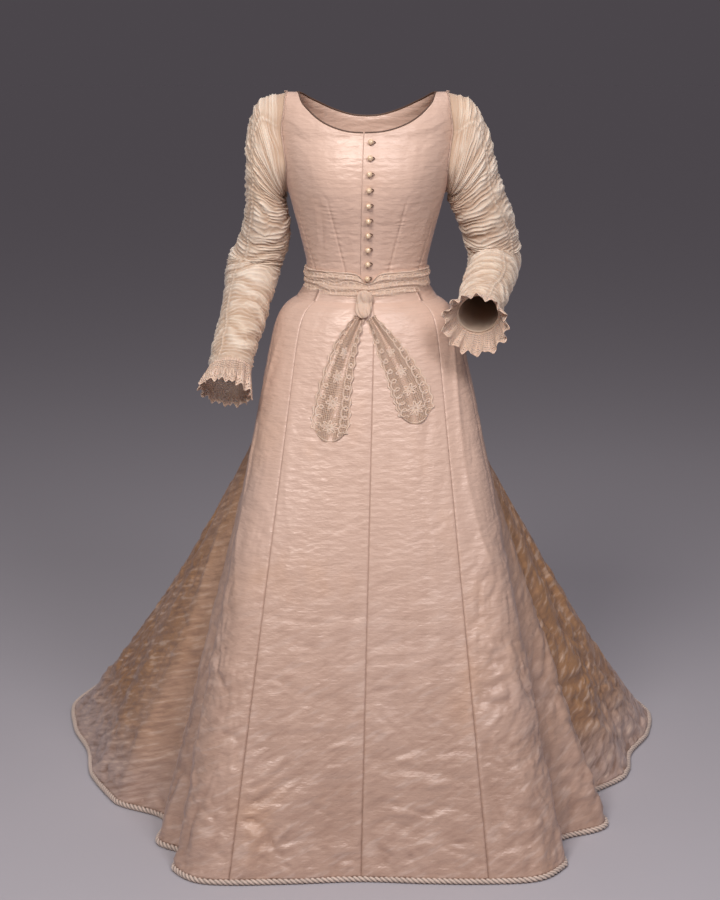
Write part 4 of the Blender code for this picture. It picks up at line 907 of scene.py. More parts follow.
def lace_material(name, colour, shade, net):
    """Cotton lace: matt thread, mottled; the net ground is darker than the tape sewn on it."""
    material = new_material(name, colour, 0.9, Sheen_Weight=0.1, Subsurface_Weight=0.25,
                            Subsurface_Radius=(0.008, 0.006, 0.004))
    speck = stretched_noise(material, (900.0, 900.0, 900.0), 2.0, on_cloth=False)
    patch = stretched_noise(material, (70.0, 70.0, 70.0), 3.0, on_cloth=False)
    tape = add_node(material, "ShaderNodeAttribute", attribute_name="rise").outputs["Fac"]
    tone = tinted(material, colour, shade, patch, 0.40, 0.68, 0.45)
    tone = tinted(material, tone, shade, speck, 0.45, 0.70, 0.35)
    paint(material, mixed(material, net, tone, ranged(material, tape, 0.0, 1.0, 0.15, 1.0)))
    bump(material, [(speck, 0.4)], 0.0005)
    return material


def cord_material(name, colour):
    """Twisted silk cord: fine threads that run with each strand, and painted shade in the grooves between
    strands.
    """
    material = new_material(name, colour, 0.6, Sheen_Weight=0.3)
    thread = stretched_noise(material, (40.0, 26.0, 1.0), 2.0)
    patch = stretched_noise(material, (14.0, 14.0, 14.0), 3.0, on_cloth=False)
    dark = [0.66 * part for part in colour]
    # Painted shade for the grooves between the strands
    groove = [0.34 * part for part in colour]
    tone = tinted(material, colour, dark, patch, 0.45, 0.75, 0.5)
    tone = tinted(material, tone, dark, thread, 0.45, 0.75, 0.5)
    paint(material, hollows(material, tone, groove, 0.0038, 0.0050, 0.9))
    bump(material, [(thread, 0.4)], 0.0006)
    return material


def pearl_material(name):
    """Pearl: cream, glossy, with a faint pink coat."""
    material = new_material(name, (0.80, 0.64, 0.46), 0.18, Coat_Weight=0.9, Coat_Roughness=0.05,
                            Coat_Tint=(1.0, 0.93, 0.86, 1.0), Specular_IOR_Level=0.9)
    cloud = stretched_noise(material, (260.0, 260.0, 260.0), 2.0, on_cloth=False)
    paint(material, tinted(material, (0.80, 0.65, 0.48), (0.58, 0.40, 0.25), cloud, 0.35, 0.75, 0.8))
    return material


def dress(piece, material, nodes):
    """Gives a piece its material and slot, makes it ride on the gown and stand for CAD nodes."""
    piece.data.materials.append(material)
    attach(piece, "root")
    if nodes:
        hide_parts(*nodes)
    return piece


# The torso: cloth coordinates are the angle from the front and the girth height, which is the
# height up to the chest and the cloth length over the shoulder above it.

GIRTH_TOP = CHEST_HEIGHT + SHOULDER_ARC


def torso_section(girth):
    """Half width, front depth, back depth and height at a girth height."""
    heights, widths, fronts, backs = np.array(TORSO_ROWS).T
    turn = np.clip((girth - CHEST_HEIGHT) / SHOULDER_ARC, 0.0, 1.0) * np.pi / 2
    width = smooth(heights, widths, girth)
    width = width + (SHOULDER_HALF_WIDTH - widths[-1]) * (1 - np.cos(turn))
    front = smooth(heights, fronts, girth) * np.cos(turn)
    back = smooth(heights, backs, girth) * np.cos(turn)
    rise = (SHOULDER_HEIGHT - CHEST_HEIGHT) * np.sin(turn)
    return width, front, back, np.minimum(girth, CHEST_HEIGHT) + rise


def torso(angle, girth):
    """A point of the torso: an ellipse with its own front and back depth at each height."""
    width, front, back, height = torso_section(girth)
    swell = np.exp(-((np.abs(angle) - math.radians(BUST_ANGLE)) / math.radians(BUST_SPREAD)) ** 2)
    swell = swell * np.exp(-((girth - BUST_HEIGHT) / BUST_RISE) ** 2)
    depth = np.where(np.cos(angle) > 0, front + BUST_DEPTH * swell, back)
    return np.stack([width * np.sin(angle), -depth * np.cos(angle), height], -1)


def torso_normal(angle, girth):
    """The outward direction of the torso: the cross product of small steps each way."""
    girth = np.minimum(girth, GIRTH_TOP - 0.002)
    step = 1e-4
    across = torso(angle + step, girth) - torso(angle - step, girth)
    along = torso(angle, girth + step) - torso(angle, girth - step)
    return unit(np.cross(across, along))


def on_torso(angle, girth, lift):
    """A point moved out from the torso by `lift`."""
    return torso(angle, girth) + torso_normal(angle, girth) * np.asarray(lift)[..., None]


def girth_of(height):
    """Girth height of a height above the floor."""
    share = np.clip((height - CHEST_HEIGHT) / (SHOULDER_HEIGHT - CHEST_HEIGHT), 0.0, 1.0)
    return np.minimum(height, CHEST_HEIGHT) + SHOULDER_ARC * np.arcsin(share) * 2 / np.pi


def angle_of(distance, girth):
    """Angle from the front of a distance from the middle."""
    return np.arcsin(np.clip(distance / torso_section(girth)[0], -1.0, 1.0))


def neckline(share):
    """Front neckline from the middle (0) to the inner strap (1), as angle and girth."""
    rows = np.array(NECKLINE_ROWS)
    places = np.append(rows[:, 0], STRAP_INNER)
    girths = np.append(girth_of(rows[:, 1]), GIRTH_TOP)
    keys = np.linspace(0.0, 1.0, len(places))
    girth = smooth(keys, girths, share)
    return angle_of(smooth(keys, places, share), girth), girth


def armhole_front(share):
    """Front edge of the armhole from the side seam (0) to the outer strap (1)."""
    rows = np.array(ARMHOLE_FRONT_ROWS)
    girths = girth_of(rows[:, 1])
    angles = angle_of(rows[:, 0], girths)
    angles = np.concatenate([[np.pi / 2], angles[1:], [angle_of(STRAP_OUTER, GIRTH_TOP)]])
    girths = np.concatenate([[ARMHOLE_BOTTOM], girths[1:], [GIRTH_TOP]])
    keys = np.linspace(0.0, 1.0, len(girths))
    return smooth(keys, angles, share), smooth(keys, girths, share)


def armhole_ring(turn, side):
    """The armhole as a ring: turn 0 is the shoulder, a quarter turn the front, a half the bottom."""
    share = np.where(turn <= np.pi, 1 - turn / np.pi, turn / np.pi - 1)
    angle, girth = armhole_front(share)
    back = np.pi - (np.pi / 2 + (angle - np.pi / 2) * ARMHOLE_BACK_DEPTH)
    return side * np.where(turn <= np.pi, angle, back), girth


def opening_angle(girth):
    """The front opening lies a little to the wearer's right, more so at the waist."""
    share = (girth - WAIST_HEIGHT) / (NECK_FRONT_HEIGHT - WAIST_HEIGHT)
    return OPENING_LEAN[0] + (OPENING_LEAN[1] - OPENING_LEAN[0]) * np.clip(share, 0, 1)


def panel_coordinates(u, v, side, is_back):
    """Cloth coordinates of a bodice panel by a Coons patch between its four edges.

    u runs from the middle to the side seam and armhole, v from the waist to the neck and strap.
    The patch is the blend of opposite edges less the blend of the four corners.
    """
    neck_start = NECK_BACK_HEIGHT if is_back else NECK_FRONT_HEIGHT

    def top(s):
        neck = np.clip(s / NECK_SHARE, 0, 1)
        angle, girth = neckline(neck)
        if is_back:
            drop = (girth - NECK_FRONT_HEIGHT) / (GIRTH_TOP - NECK_FRONT_HEIGHT)
            start = girth_of(neck_start)
            girth = start + (GIRTH_TOP - start) * np.clip(drop, 0, 1)
            angle = angle_of(STRAP_INNER * neck, girth)
        inner = angle_of(STRAP_INNER, GIRTH_TOP)
        outer = angle_of(STRAP_OUTER, GIRTH_TOP)
        end = np.clip((s - NECK_SHARE) / (1 - NECK_SHARE), 0, 1)
        strap = inner + (outer - inner) * end
        angle = np.where(s > NECK_SHARE, strap, angle)
        return angle, np.where(s > NECK_SHARE, GIRTH_TOP, girth)

    def edge(s):
        seam = np.clip(s / SIDE_SHARE, 0, 1)
        angle, girth = armhole_front(np.clip((s - SIDE_SHARE) / (1 - SIDE_SHARE), 0, 1))
        if is_back:
            angle = np.pi / 2 + (angle - np.pi / 2) * ARMHOLE_BACK_DEPTH
        low = WAIST_HEIGHT + (ARMHOLE_BOTTOM - WAIST_HEIGHT) * seam
        return np.where(s > SIDE_SHARE, angle, np.pi / 2), np.where(s > SIDE_SHARE, girth, low)

    top_angle, top_girth = top(u)
    edge_angle, edge_girth = edge(v)
    middle_girth = WAIST_HEIGHT + (girth_of(neck_start) - WAIST_HEIGHT) * v
    corner_angle, corner_girth = top(np.ones(1))
    bottom_angle = u * np.pi / 2
    angle = (1 - v) * bottom_angle + v * top_angle + u * edge_angle
    angle = angle - u * (1 - v) * np.pi / 2 - u * v * corner_angle
    girth = (1 - v) * WAIST_HEIGHT + v * top_girth + (1 - u) * middle_girth + u * edge_girth
    girth = girth - (1 - v) * WAIST_HEIGHT - (1 - u) * v * girth_of(neck_start)
    girth = girth - u * v * corner_girth
    if is_back:
        return np.pi - side * angle, girth
    return side * angle + opening_angle(girth) * (1 - u) ** 2, girth


# Bodice


def stitch_line(distance):
    """1 on a seam and 0 a thread's width away from it."""
    return np.exp(-(distance / 0.0009) ** 2)


def seam_pucker(distance, along, seed, depth=0.0007):
    """The groove of a seam and the small puckers beside it, which die away in 7 mm."""
    groove = -0.9 * depth * np.exp(-(distance / 0.0016) ** 2)
    beat = np.sin(along / 0.0088 * 2 * np.pi + 6 * lattice_noise(along * 34, 0 * along, seed))
    beat = beat * (0.45 + 0.55 * lattice_noise(along * 21, distance * 60, seed + 1))
    return groove + depth * beat * np.exp(-distance / 0.0075) * (1 - np.exp(-distance / 0.0015))


def bodice_lift(points, creases, seed):
    """Height of the cloth over the torso: its thickness, creases and crumples."""
    field = crease_field(points[..., 0], points[..., 2], creases)
    field = field + BODICE_CRUMPLE * crumple(points[..., 0] + 1, points[..., 2], BODICE_CRUMPLE_SIZE, seed)
    return CLOTH + PROUD + field


def front_piece(side, node, creases, seed):
    """One bodice front: the panel on a fine grid, with two stitched darts."""
    rows, columns = FRONT_GRID
    v, u = np.meshgrid(np.linspace(0, 1, rows), np.linspace(0.0008, 0.9992, columns), indexing="ij")
    angle, girth = panel_coordinates(u, v, side, False)
    base = torso(angle, girth)
    x = base[..., 0]
    height = base[..., 2]
    side_seam = (1 - u) * PANEL_WIDTH
    lift = bodice_lift(base, creases, seed) + seam_pucker(side_seam, height, 41)
    lift = lift + 0.0006 * np.exp(-(u * PANEL_WIDTH / 0.004) ** 2)
    stitches = stitch_line(side_seam)
    for x_tip, z_tip, x_low, z_low in DARTS:
        share = np.clip((height - z_low) / (z_tip - z_low), 0, 1)
        distance = np.abs(x - side * (x_low + (x_tip - x_low) * share))
        below = np.clip((z_tip - height) / 0.025, 0, 1)
        lift = lift + below * seam_pucker(distance, height, seed + 3, DART_DEPTH)
        stitches = stitches + below * stitch_line(distance)
    uv = np.stack([side * angle * TORSO_RADIUS, girth], -1)
    piece = shell("cloth_" + node, on_torso(angle, girth, lift), on_torso(angle, girth, 0 * lift), uv,
                  stitches)
    dress(piece, TAFFETA, [node])


def back_piece():
    """The bodice back: two half patches joined at the middle, plain, with a few creases."""
    rows, columns = BACK_GRID
    v, u = np.meshgrid(np.linspace(0, 1, rows), np.linspace(0, 0.9992, columns), indexing="ij")
    left = panel_coordinates(u, v, 1, True)
    right = panel_coordinates(u, v, -1, True)
    angle, girth = (np.concatenate([a[:, ::-1], b[:, 1:]], axis=1) for a, b in zip(left, right))
    side_seam = (1 - np.concatenate([u[:, ::-1], u[:, 1:]], axis=1)) * PANEL_WIDTH
    base = torso(angle, girth)
    height = base[..., 2]
    lift = bodice_lift(base, BACK_CREASES, 23) + seam_pucker(side_seam, height, 41)
    stitches = stitch_line(side_seam)
    for line in BACK_LINES:
        place = line * (0.55 + 0.45 * ease(WAIST_HEIGHT, 1.25, height))
        distance = np.abs(np.abs(base[..., 0]) - place)
        lift = lift + 0.8 * seam_pucker(distance, height, 47)
        stitches = stitches + stitch_line(distance)
    uv = np.stack([angle * TORSO_RADIUS, girth], -1)
    piece = shell("cloth_bodice_back", on_torso(angle, girth, lift), on_torso(angle, girth, 0 * lift),
                  uv, stitches)
    dress(piece, TAFFETA, ["bodice_back"])


def neck_path(count):
    """The neck edge from one side of the opening round the back to the other."""
    share = np.linspace(0.0, 1.0, count)
    angle, girth = neckline(share)
    shift = opening_angle(girth) * (1 - share) ** 2
    first = np.where(share == 0, 0.010, 0.0)
    back_u = np.linspace(NECK_SHARE, 0.0, count)
    left = panel_coordinates(back_u, np.ones_like(back_u), 1, True)
    right = panel_coordinates(back_u[::-1], np.ones_like(back_u), -1, True)
    last = (2 * np.pi - angle + shift - first)[::-1]
    angles = [angle + shift + first, left[0][1:], right[0][1:-1], last]
    girths = [girth, left[1][1:], right[1][1:-1], girth[::-1]]
    return np.concatenate(angles), np.concatenate(girths)


def binding_piece():
    """The binding: a round tube along the neck edge, just above the cloth's edge; its near-black colour
    also stands in for the shadow along that edge.
    """
    angles, girths = neck_path(60)
    path = torso(angles, girths)
    normal = torso_normal(angles, girths)
    outward = unit(np.cross(unit(np.gradient(path, axis=0)), normal))
    inwards = np.array([0.0, 0.0, NECK_FRONT_HEIGHT]) - path
    outward = outward * np.sign(np.sum(outward * inwards, axis=-1))[:, None]
    path = path + normal * (CLOTH + PROUD) * 0.8 + outward * BINDING_RISE
    strip = rolled_strip("cloth_neck_binding", path, BINDING_RADIUS, np.array([0.0, 0.0, 1.0]))
    piece = dress(strip, DARK_BINDING_AND_SHADOW, ["neck_binding"])


def piping_piece(side, node):
    """Piping: a thin round tube round the armhole."""
    turn = 2 * np.pi * np.arange(120) / 120
    angle, girth = armhole_ring(turn, side)
    edge = torso(angle, girth)
    normal = torso_normal(angle, girth)
    along = unit(np.roll(edge, -1, axis=0) - np.roll(edge, 1, axis=0))
    inwards = unit(np.cross(along, normal))
    inwards = inwards * np.sign(np.sum(inwards * (edge - edge.mean(axis=0)), axis=-1))[:, None]
    path = edge + normal * (CLOTH + PROUD + PIPING_RADIUS * 0.7) + inwards * PIPING_SET_IN * 0.6
    radius = PIPING_RADIUS * 1.1
    strip = rolled_strip("cloth_" + node, path, radius, unit(path - path.mean(axis=0)), True)
    piece = dress(strip, TAFFETA, [node])


def button_places():
    """Middle and outward direction of each button, down the left front beside the opening."""
    heights = NECK_FRONT_HEIGHT - TOP_BUTTON_DROP - BUTTON_PITCH * np.arange(BUTTON_COUNT)
    girth = girth_of(heights)
    angle = opening_angle(girth) + BUTTON_SET_IN / torso_section(girth)[0]
    normal = torso_normal(angle, girth)
    return torso(angle, girth) + normal * (CLOTH + PROUD + BUTTON_RADIUS * 0.96), normal


def button_pieces():
    """Ball buttons, each a closed sphere, and dark thread loops beside them, which also stand in for the
    shadow each button casts to its side.
    """
    centres, normals = button_places()
    rows, columns = BUTTON_GRID
    turn = np.linspace(0, 2 * np.pi, columns + 1)[:-1]
    fall = np.linspace(0.02, np.pi - 0.02, rows)
    ball = np.stack([np.outer(np.sin(fall), np.cos(turn)), np.outer(np.sin(fall), np.sin(turn)),
                     np.repeat(np.cos(fall)[:, None], columns, axis=1)], -1).reshape(-1, 3)
    ball = BUTTON_RADIUS * np.concatenate([ball, [(0.0, 0.0, 1.0), (0.0, 0.0, -1.0)]])
    numbers = numbered(rows, columns, 0, True)
    quads = grid_quads(numbers).reshape(-1, 4)
    caps = pole_caps(numbers, rows * columns)
    for number, centre in enumerate(centres):
        node = "button_%02d" % (number + 1)
        dress(add_mesh("pearl_" + node, centre + ball, quads, caps), PEARL, [node])
    parts = []
    t = np.linspace(-0.2, np.pi + 0.2, 22)[:, None]
    for centre, normal in zip(centres, normals):
        side = unit(np.cross(np.array([0.0, 0.0, 1.0]), normal))
        side = side if side[0] > 0 else -side
        path = centre - normal * (BUTTON_RADIUS * 0.72) + side * (0.0030 + 0.0052 * np.sin(t))
        path = path + np.array([0.0, 0.0, 0.0026]) * np.cos(t)
        parts.append(tube_parts(path, np.array(0.00075), 6, normal))
    points, quads, uv = joined(parts)
    dress(add_mesh("button_loops", points, quads, None, uv), DARK_LOOP_AND_SHADOW, [])


# The skirt: u counts the rows of SKIRT_ROWS round the figure, s falls from the sash to the hem.

SKIRT_NAMES = [row[0] for row in SKIRT_ROWS]
SKIRT_VALUES = np.array([row[1:] for row in SKIRT_ROWS], float)
SKIRT_COUNT = len(SKIRT_ROWS)
HEM_STEP = 0.05


def waist_angle(u):
    """Angle at the waist: the rows' angles, which go once round, as a smooth growing curve."""
    turns = np.floor(u / SKIRT_COUNT)
    keys = np.arange(-1, SKIRT_COUNT + 2)
    angles = SKIRT_VALUES[:, 0]
    values = np.concatenate([[angles[-1] - 360], angles, [angles[0] + 360, angles[1] + 360]])
    return np.radians(smooth(keys, values, u - turns * SKIRT_COUNT) + 360 * turns)


def skirt(u, s):
    """A point of the skirt: straight from a virtual waist to the hem, pulled in at the waist.

    Each u has a straight line from an ellipse at the sash bottom to the hem curve. The tuck
    draws it in along the hem's inward direction, growing with the fall, and the pull to the
    real waist dies away with depth below the sash.
    """
    angle = waist_angle(u)
    x, y, tuck, sweep = (smooth_ring(SKIRT_VALUES[:, k], u) for k in (1, 2, 3, 4))
    before = u - HEM_STEP
    after = u + HEM_STEP
    edge_x = smooth_ring(SKIRT_VALUES[:, 1], after) - smooth_ring(SKIRT_VALUES[:, 1], before)
    edge_y = smooth_ring(SKIRT_VALUES[:, 2], after) - smooth_ring(SKIRT_VALUES[:, 2], before)
    length = np.hypot(edge_x, edge_y)
    pull = np.maximum(tuck, 0.0) * np.clip(s, 0, 1) ** TUCK_START_POWER
    depth = np.where(np.cos(angle) > 0, CONE_FRONT, CONE_BACK)
    top_x = CONE_HALF_WIDTH * np.sin(angle)
    top_y = -depth * np.cos(angle)
    height = ROPE_RADIUS + (SASH_BOTTOM - ROPE_RADIUS) * np.clip(1 - s, 0, None) ** sweep
    drop = np.maximum(SASH_BOTTOM - height, 0.0)
    waist = torso(angle, np.full_like(angle, SASH_BOTTOM))
    grip = np.exp(-drop / HIP_SPRING)
    across = top_x * (1 - s) + x * s + (waist[..., 0] - top_x) * grip - pull * edge_y / length
    back = top_y * (1 - s) + y * s + (waist[..., 1] - top_y) * grip + pull * edge_x / length
    return np.stack([across, back, height], -1)


def skirt_normal(u, s):
    """Outward direction of the skirt, the cross product of small steps each way."""
    step = 1e-3
    low = np.clip(s, 0.002, 0.995)
    across = skirt(u + step, low) - skirt(u - step, low)
    along = skirt(u, low + step) - skirt(u, low - step)
    return unit(np.cross(along, across))


def gore_piece(number, name, start, end, columns, rows):
    """One gore: the skirt's form, moved out by creases, crumples and the puckers of its seams."""
    is_front = "front" in name
    first = SKIRT_NAMES.index(start)
    last = SKIRT_NAMES.index(end) or SKIRT_COUNT
    falls = np.concatenate([[0.0], np.linspace(0, 1, rows) ** 1.06 * 0.9968])
    falls[1] = 0.0005
    s, share = np.meshgrid(falls, np.linspace(0.0, 1.0, columns + 1), indexing="ij")
    u = first + (last - first) * share
    base = skirt(u, s)
    normal = skirt_normal(u, s)
    waist = waist_angle(u[0])
    base[0] = torso(waist, np.full_like(waist, WAIST_HEIGHT))
    normal[:2] = torso_normal(waist, np.full_like(waist, WAIST_HEIGHT))
    sideways = np.linalg.norm(np.diff(base, axis=1), axis=-1)
    across = np.concatenate([np.zeros((len(falls), 1)), np.cumsum(sideways, axis=1)], axis=1)
    wide = across[:, -1:]
    downwards = np.linalg.norm(np.diff(base[:, columns // 2], axis=0), axis=-1)
    along = np.concatenate([[0.0], np.cumsum(downwards)])[:, None] + 0 * across
    length = along[-1, 0]
    width = float(np.interp(0.6, falls, wide[:, 0]))

    creases = [(a * width, b * length, c * width, d * length, half, depth)
               for a, b, c, d, half, depth in SKIRT_CREASES[name]]
    field = crease_field(share * width, s * length, creases)
    low = ease(0.42, 0.97, s) if is_front else ease(0.20, 0.80, s)
    patches = 0.55 + 0.45 * lattice_noise(across * 6 + 5 * number, along * 6, 300 + number)
    depth = CRUMPLE_HIGH + (CRUMPLE_LOW - CRUMPLE_HIGH) * low * patches
    size, more, stretch = (CRUMPLE_SIZE, 1.0, 1.5) if is_front else (0.8 * CRUMPLE_SIZE, 1.25, 1.0)
    facets = crumple(across / stretch + 3 * number, along, size, 100 + number * 10)
    seam = np.minimum(across, wide - across)
    field = (field + depth * more * facets) * ease(0.0, 0.022, seam)
    field = field + seam_pucker(np.minimum(seam, 0.05), along, 7, 0.0008 + 0.0010 * low)
    hem = np.exp(-(along[-1:] - along) / 0.012)
    field = field + 0.0009 * hem * np.sin(across / 0.0155 * 2 * np.pi + number)
    field = field * ease(0.0, 0.05, s) * (1 - 0.6 * ease(0.985, 1.0, s))
    # Painted shade in the hollows of creases low on the skirt, carried in the rise with the stitch lines
    hollow = 1.6 * low * np.clip(-field / 0.0040, 0.0, 1.0) ** 1.3
    lift = CLOTH + 0.0012 * ease(0.0, 0.03, s) + field
    outer = base + normal * lift[..., None]
    inner = base + normal * np.minimum(field, 0.0)[..., None]
    piece = shell("cloth_skirt_" + name, outer, inner, np.stack([across, along], -1),
                  stitch_line(seam) * ease(0.03, 0.09, s) * 0.8 + hollow)
    endings = ("",) if name in WHOLE_GORES else ("_fore", "_rear")
    dress(piece, TAFFETA, ["skirt_" + name + ending for ending in endings])


def rope_piece():
    """The hem rope: three strands twisted together, sewn along the whole hem.

    At each place the outline is three equal circles round the middle, and they turn with length.
    """
    u = np.linspace(0, SKIRT_COUNT, 8001)
    line = skirt(u, np.ones_like(u))
    lengths = np.concatenate([[0.0], np.cumsum(np.linalg.norm(np.diff(line, axis=0), axis=1))])
    total = lengths[-1]
    count = int(total / ROPE_STEP)
    places = np.arange(count) * total / count
    u = np.interp(places, lengths, u)
    path = skirt(u, np.ones_like(u))
    near = skirt(u + HEM_STEP, np.ones_like(u)) - skirt(u - HEM_STEP, np.ones_like(u))
    outward = unit(np.stack([near[:, 1], -near[:, 0], 0 * u], -1))
    path[:, 2] = ROPE_RADIUS
    path = path + outward * (CLOTH / 2 + PROUD)
    turn = 2 * np.pi * np.arange(ROPE_SIDES)[None] / ROPE_SIDES
    twist = 2 * np.pi * round(total / ROPE_TWIST) * places[:, None] / total
    phase = (turn + twist) % (2 * np.pi / 3) - np.pi / 3
    out = ROPE_RADIUS * ROPE_SWELL - STRAND_RADIUS
    radius = out * np.cos(phase) + np.sqrt(STRAND_RADIUS ** 2 - (out * np.sin(phase)) ** 2)
    up = np.array([0.0, 0.0, 1.0])
    spokes = outward[:, None] * np.cos(turn)[..., None] + up * np.sin(turn)[..., None]
    points = path[:, None] + radius[..., None] * spokes
    numbers = numbered(count, ROPE_SIDES, 0, True)
    quads = grid_quads(np.concatenate([numbers, numbers[:1]])).reshape(-1, 4)
    uv = np.stack([(turn + twist) / (2 * np.pi), places[:, None] * 10 + 0 * turn], -1)
    # The outline's radius is also the rise, which paints shade into the grooves between strands
    piece = add_mesh("hem_rope", points.reshape(-1, 3), quads, None, uv.reshape(-1, 2), radius)
    dress(piece, CORD, ["hem_rope_" + gore[0] for gore in GORES])


# The sleeves


def sleeve_middle(turn, t, side, rows):
    """A point of the plain sleeve: rings between an outer and an inner edge, deep across the arm."""
    values = np.array(rows)
    keys = np.linspace(0.0, 1.0, len(values))
    outer_x, outer_z, inner_x, inner_z, place_y, depth = (
        smooth(keys, values[:, k], t) for k in range(6))

    def centre(at):
        edges = [smooth(keys, values[:, k], at) for k in range(5)]
        return np.stack([side * (edges[0] + edges[2]) / 2, edges[4], (edges[1] + edges[3]) / 2], -1)

    run = unit(centre(np.clip(t + 0.02, 0, 1)) - centre(np.clip(t - 0.02, 0, 1)))
    axis = np.stack([side * (outer_x - inner_x) / 2, 0 * t, (outer_z - inner_z) / 2], -1)
    sideways = unit(np.cross(run, axis)) * side * depth[..., None]
    return centre(t) + axis * np.cos(turn)[..., None] + sideways * np.sin(turn)[..., None]


def sleeve_surface(turn, t, side, rows):
    """The sleeve with its head drawn to the armhole ring, the draw dying away down the cap."""
    angle, girth = armhole_ring(turn, side)
    ring = on_torso(angle, girth, np.full(turn.shape, CLOTH / 2))
    plain = sleeve_middle(turn, t, side, rows)
    start = sleeve_middle(turn, 0 * t, side, rows)
    share = np.clip(t / SLEEVE_HEAD_SHARE, 0, 1)
    outwards = (1 - share) ** 2
    later = np.clip((share - RING_FADE_START) / (1 - RING_FADE_START), 0, 1)
    around = 1 - later * later * (3 - 2 * later)
    return plain + (ring - start) * np.stack([outwards, around, around], -1)


def ring_normals(points):
    """Outward directions of a tube given as rings of points."""
    along = np.gradient(points, axis=0)
    around = np.roll(points, -1, axis=1) - np.roll(points, 1, axis=1)
    normal = unit(np.cross(along, around))
    sign = np.sign(np.sum(normal * (points - points.mean(axis=1, keepdims=True)), axis=-1).mean())
    return normal * sign


def ruching(turn, t, seed):
    """Height of the gathered chiffon: soft puffs about 34 mm apart, with gathers 8 mm apart.

    Each is |cos| or cos of the place along the arm, so that gathers stand up as narrow ridges.
    Noise pushes their phase about, so that gathers run into each other and die out, and near
    the shirred lines the cloth is drawn in and stands up as a narrow frill.
    """
    along = t * SLEEVE_LENGTH
    x = turn / (2 * np.pi)
    slant = np.sin(turn - SHIRRED_TURNS[0])
    push = lattice_noise(x * 6, along * 20, seed, 6)
    fine_push = lattice_noise(x * 12, along * 55, seed + 1, 12)
    broken = lattice_noise(x * 16, along * 75, seed + 4, 16)
    puffs = 0.5 + 0.5 * np.cos(2 * np.pi * along / PUFF_SPACING + 5.5 * push + 0.6 * slant)
    gather_phase = np.pi * along / GATHER_SPACING + 3.4 * push + 2.2 * fine_push + 0.9 * slant
    cross_phase = np.pi * along / CROSS_SPACING - 3.0 * push - 1.3 * slant + 3.2 * broken
    gathers = 1 - np.abs(np.cos(gather_phase))
    cross = 1 - np.abs(np.cos(cross_phase))
    uneven = 0.60 + 0.40 * lattice_noise(x * 9, along * 30, seed + 2, 9)
    strength = np.clip(0.62 + 0.55 * broken, 0.12, 1.0)
    height = PUFF_HEIGHT * puffs * uneven + GATHER_HEIGHT * gathers ** 1.2 * strength
    height = height + CROSS_HEIGHT * cross ** 1.6 * (1.1 - strength)
    for place in SHIRRED_TURNS:
        wander = 0.16 * np.sin(along * 34 + seed) + 0.06 * fine_push
        off = (turn - place - wander + np.pi) % (2 * np.pi) - np.pi
        distance = np.abs(off) * ARM_RADIUS
        height = height * (1 - 0.80 * np.exp(-(distance / 0.0055) ** 2))
        frill = 0.5 + 0.5 * np.sin(2 * np.pi * along / FRILL_SPACING + 2 * fine_push)
        height = height + FRILL_HEIGHT * np.exp(-(distance / 0.0020) ** 2) * (0.4 + 0.6 * frill)
    return height * ease(0.0, 0.07, t) * (1 - 0.45 * ease(0.97, 1.0, t))


def sleeve_piece(side, node, rows, seed, endings):
    """One sleeve: the plain form with its ruching, open at the armhole and at the wrist."""
    turn = 2 * np.pi * np.arange(SLEEVE_COLUMNS) / SLEEVE_COLUMNS
    t = np.linspace(0.0, 1.0, SLEEVE_RINGS + 1)
    columns, along = np.meshgrid(turn, t)
    middle = sleeve_surface(columns, along, side, rows)
    normal = ring_normals(middle)
    fade = np.clip(1 - along / SLEEVE_HEAD_SHARE * SET_IN_FADE, 0, 1)
    middle = middle - normal * (CHIFFON * 0.4 + SLEEVE_SET_IN * 0.3) * fade[..., None]
    height = ruching(columns, along, seed)
    outer = middle + normal * (CHIFFON + height)[..., None]
    uv = np.stack([columns / (2 * np.pi) * 0.3, along * SLEEVE_LENGTH], -1)
    # The ruching height is also the rise, which paints shade into the hollows of the gathers
    piece = shell("cloth_" + node, outer, middle, uv, height, wrap=True)
    dress(piece, CHIFFON_CLOTH, [node + ending for ending in endings])


def cuff_surface(turn, share, side, rows, sizes):
    """A frill from the wrist: its radius grows with length and waves round the arm."""
    length, edge_radius, wave = sizes
    both = np.array([0.0, np.pi])
    before = sleeve_middle(both, np.full(2, WRIST_SHARE), side, rows).mean(axis=0)
    wrist = sleeve_middle(both, np.ones(2), side, rows).mean(axis=0)
    run = unit(wrist - before)
    spoke = sleeve_middle(turn, np.ones_like(turn), side, rows) - wrist
    ring = sleeve_middle(np.linspace(0, 2 * np.pi, 73), np.ones(73), side, rows) - wrist
    start = (ring @ run).max() + 2 * SEAM_GAP
    head = spoke @ run - 0.003
    spoke = spoke - (spoke @ run)[..., None] * run
    reach = np.linalg.norm(spoke, axis=-1)
    ripple = np.cos(CUFF_WAVES * turn + 0.9 * np.sin(3 * turn)) * wave * share
    radius = reach + CUFF_EASE + (edge_radius - CUFF_START_RADIUS) * share + ripple
    edge = start + length + CUFF_SCALLOP * np.cos(2 * CUFF_WAVES * turn)
    fall = head + (edge - head) * share
    spokes = spoke / reach[..., None]
    return wrist + run * fall[..., None] + spokes * radius[..., None], spokes


# Lace


def rolled_strip(name, path, radius, outwards, ring=False):
    """A strip of cloth rolled round a path: a hollow tube, closed at its ends by narrow rims."""
    points, quads, uv = tube_parts(path, np.array(radius), STRIP_SIDES, outwards, ring)
    inner = tube_parts(path, np.array(radius - STRIP_WALL), STRIP_SIDES, outwards, ring)[0]
    shift = len(points)
    rims = []
    if not ring:
        numbers = numbered(len(path), STRIP_SIDES, 0, True)
        quads = grid_quads(numbers).reshape(-1, 4)
        for line in (numbers[0, ::-1], numbers[-1]):
            rims.append(np.stack([line[:-1], line[1:], line[1:] + shift, line[:-1] + shift], -1))
    faces = np.concatenate([quads, quads[:, ::-1] + shift] + rims)
    return add_mesh(name, np.concatenate([points, inner]), faces, None, np.concatenate([uv, uv]))


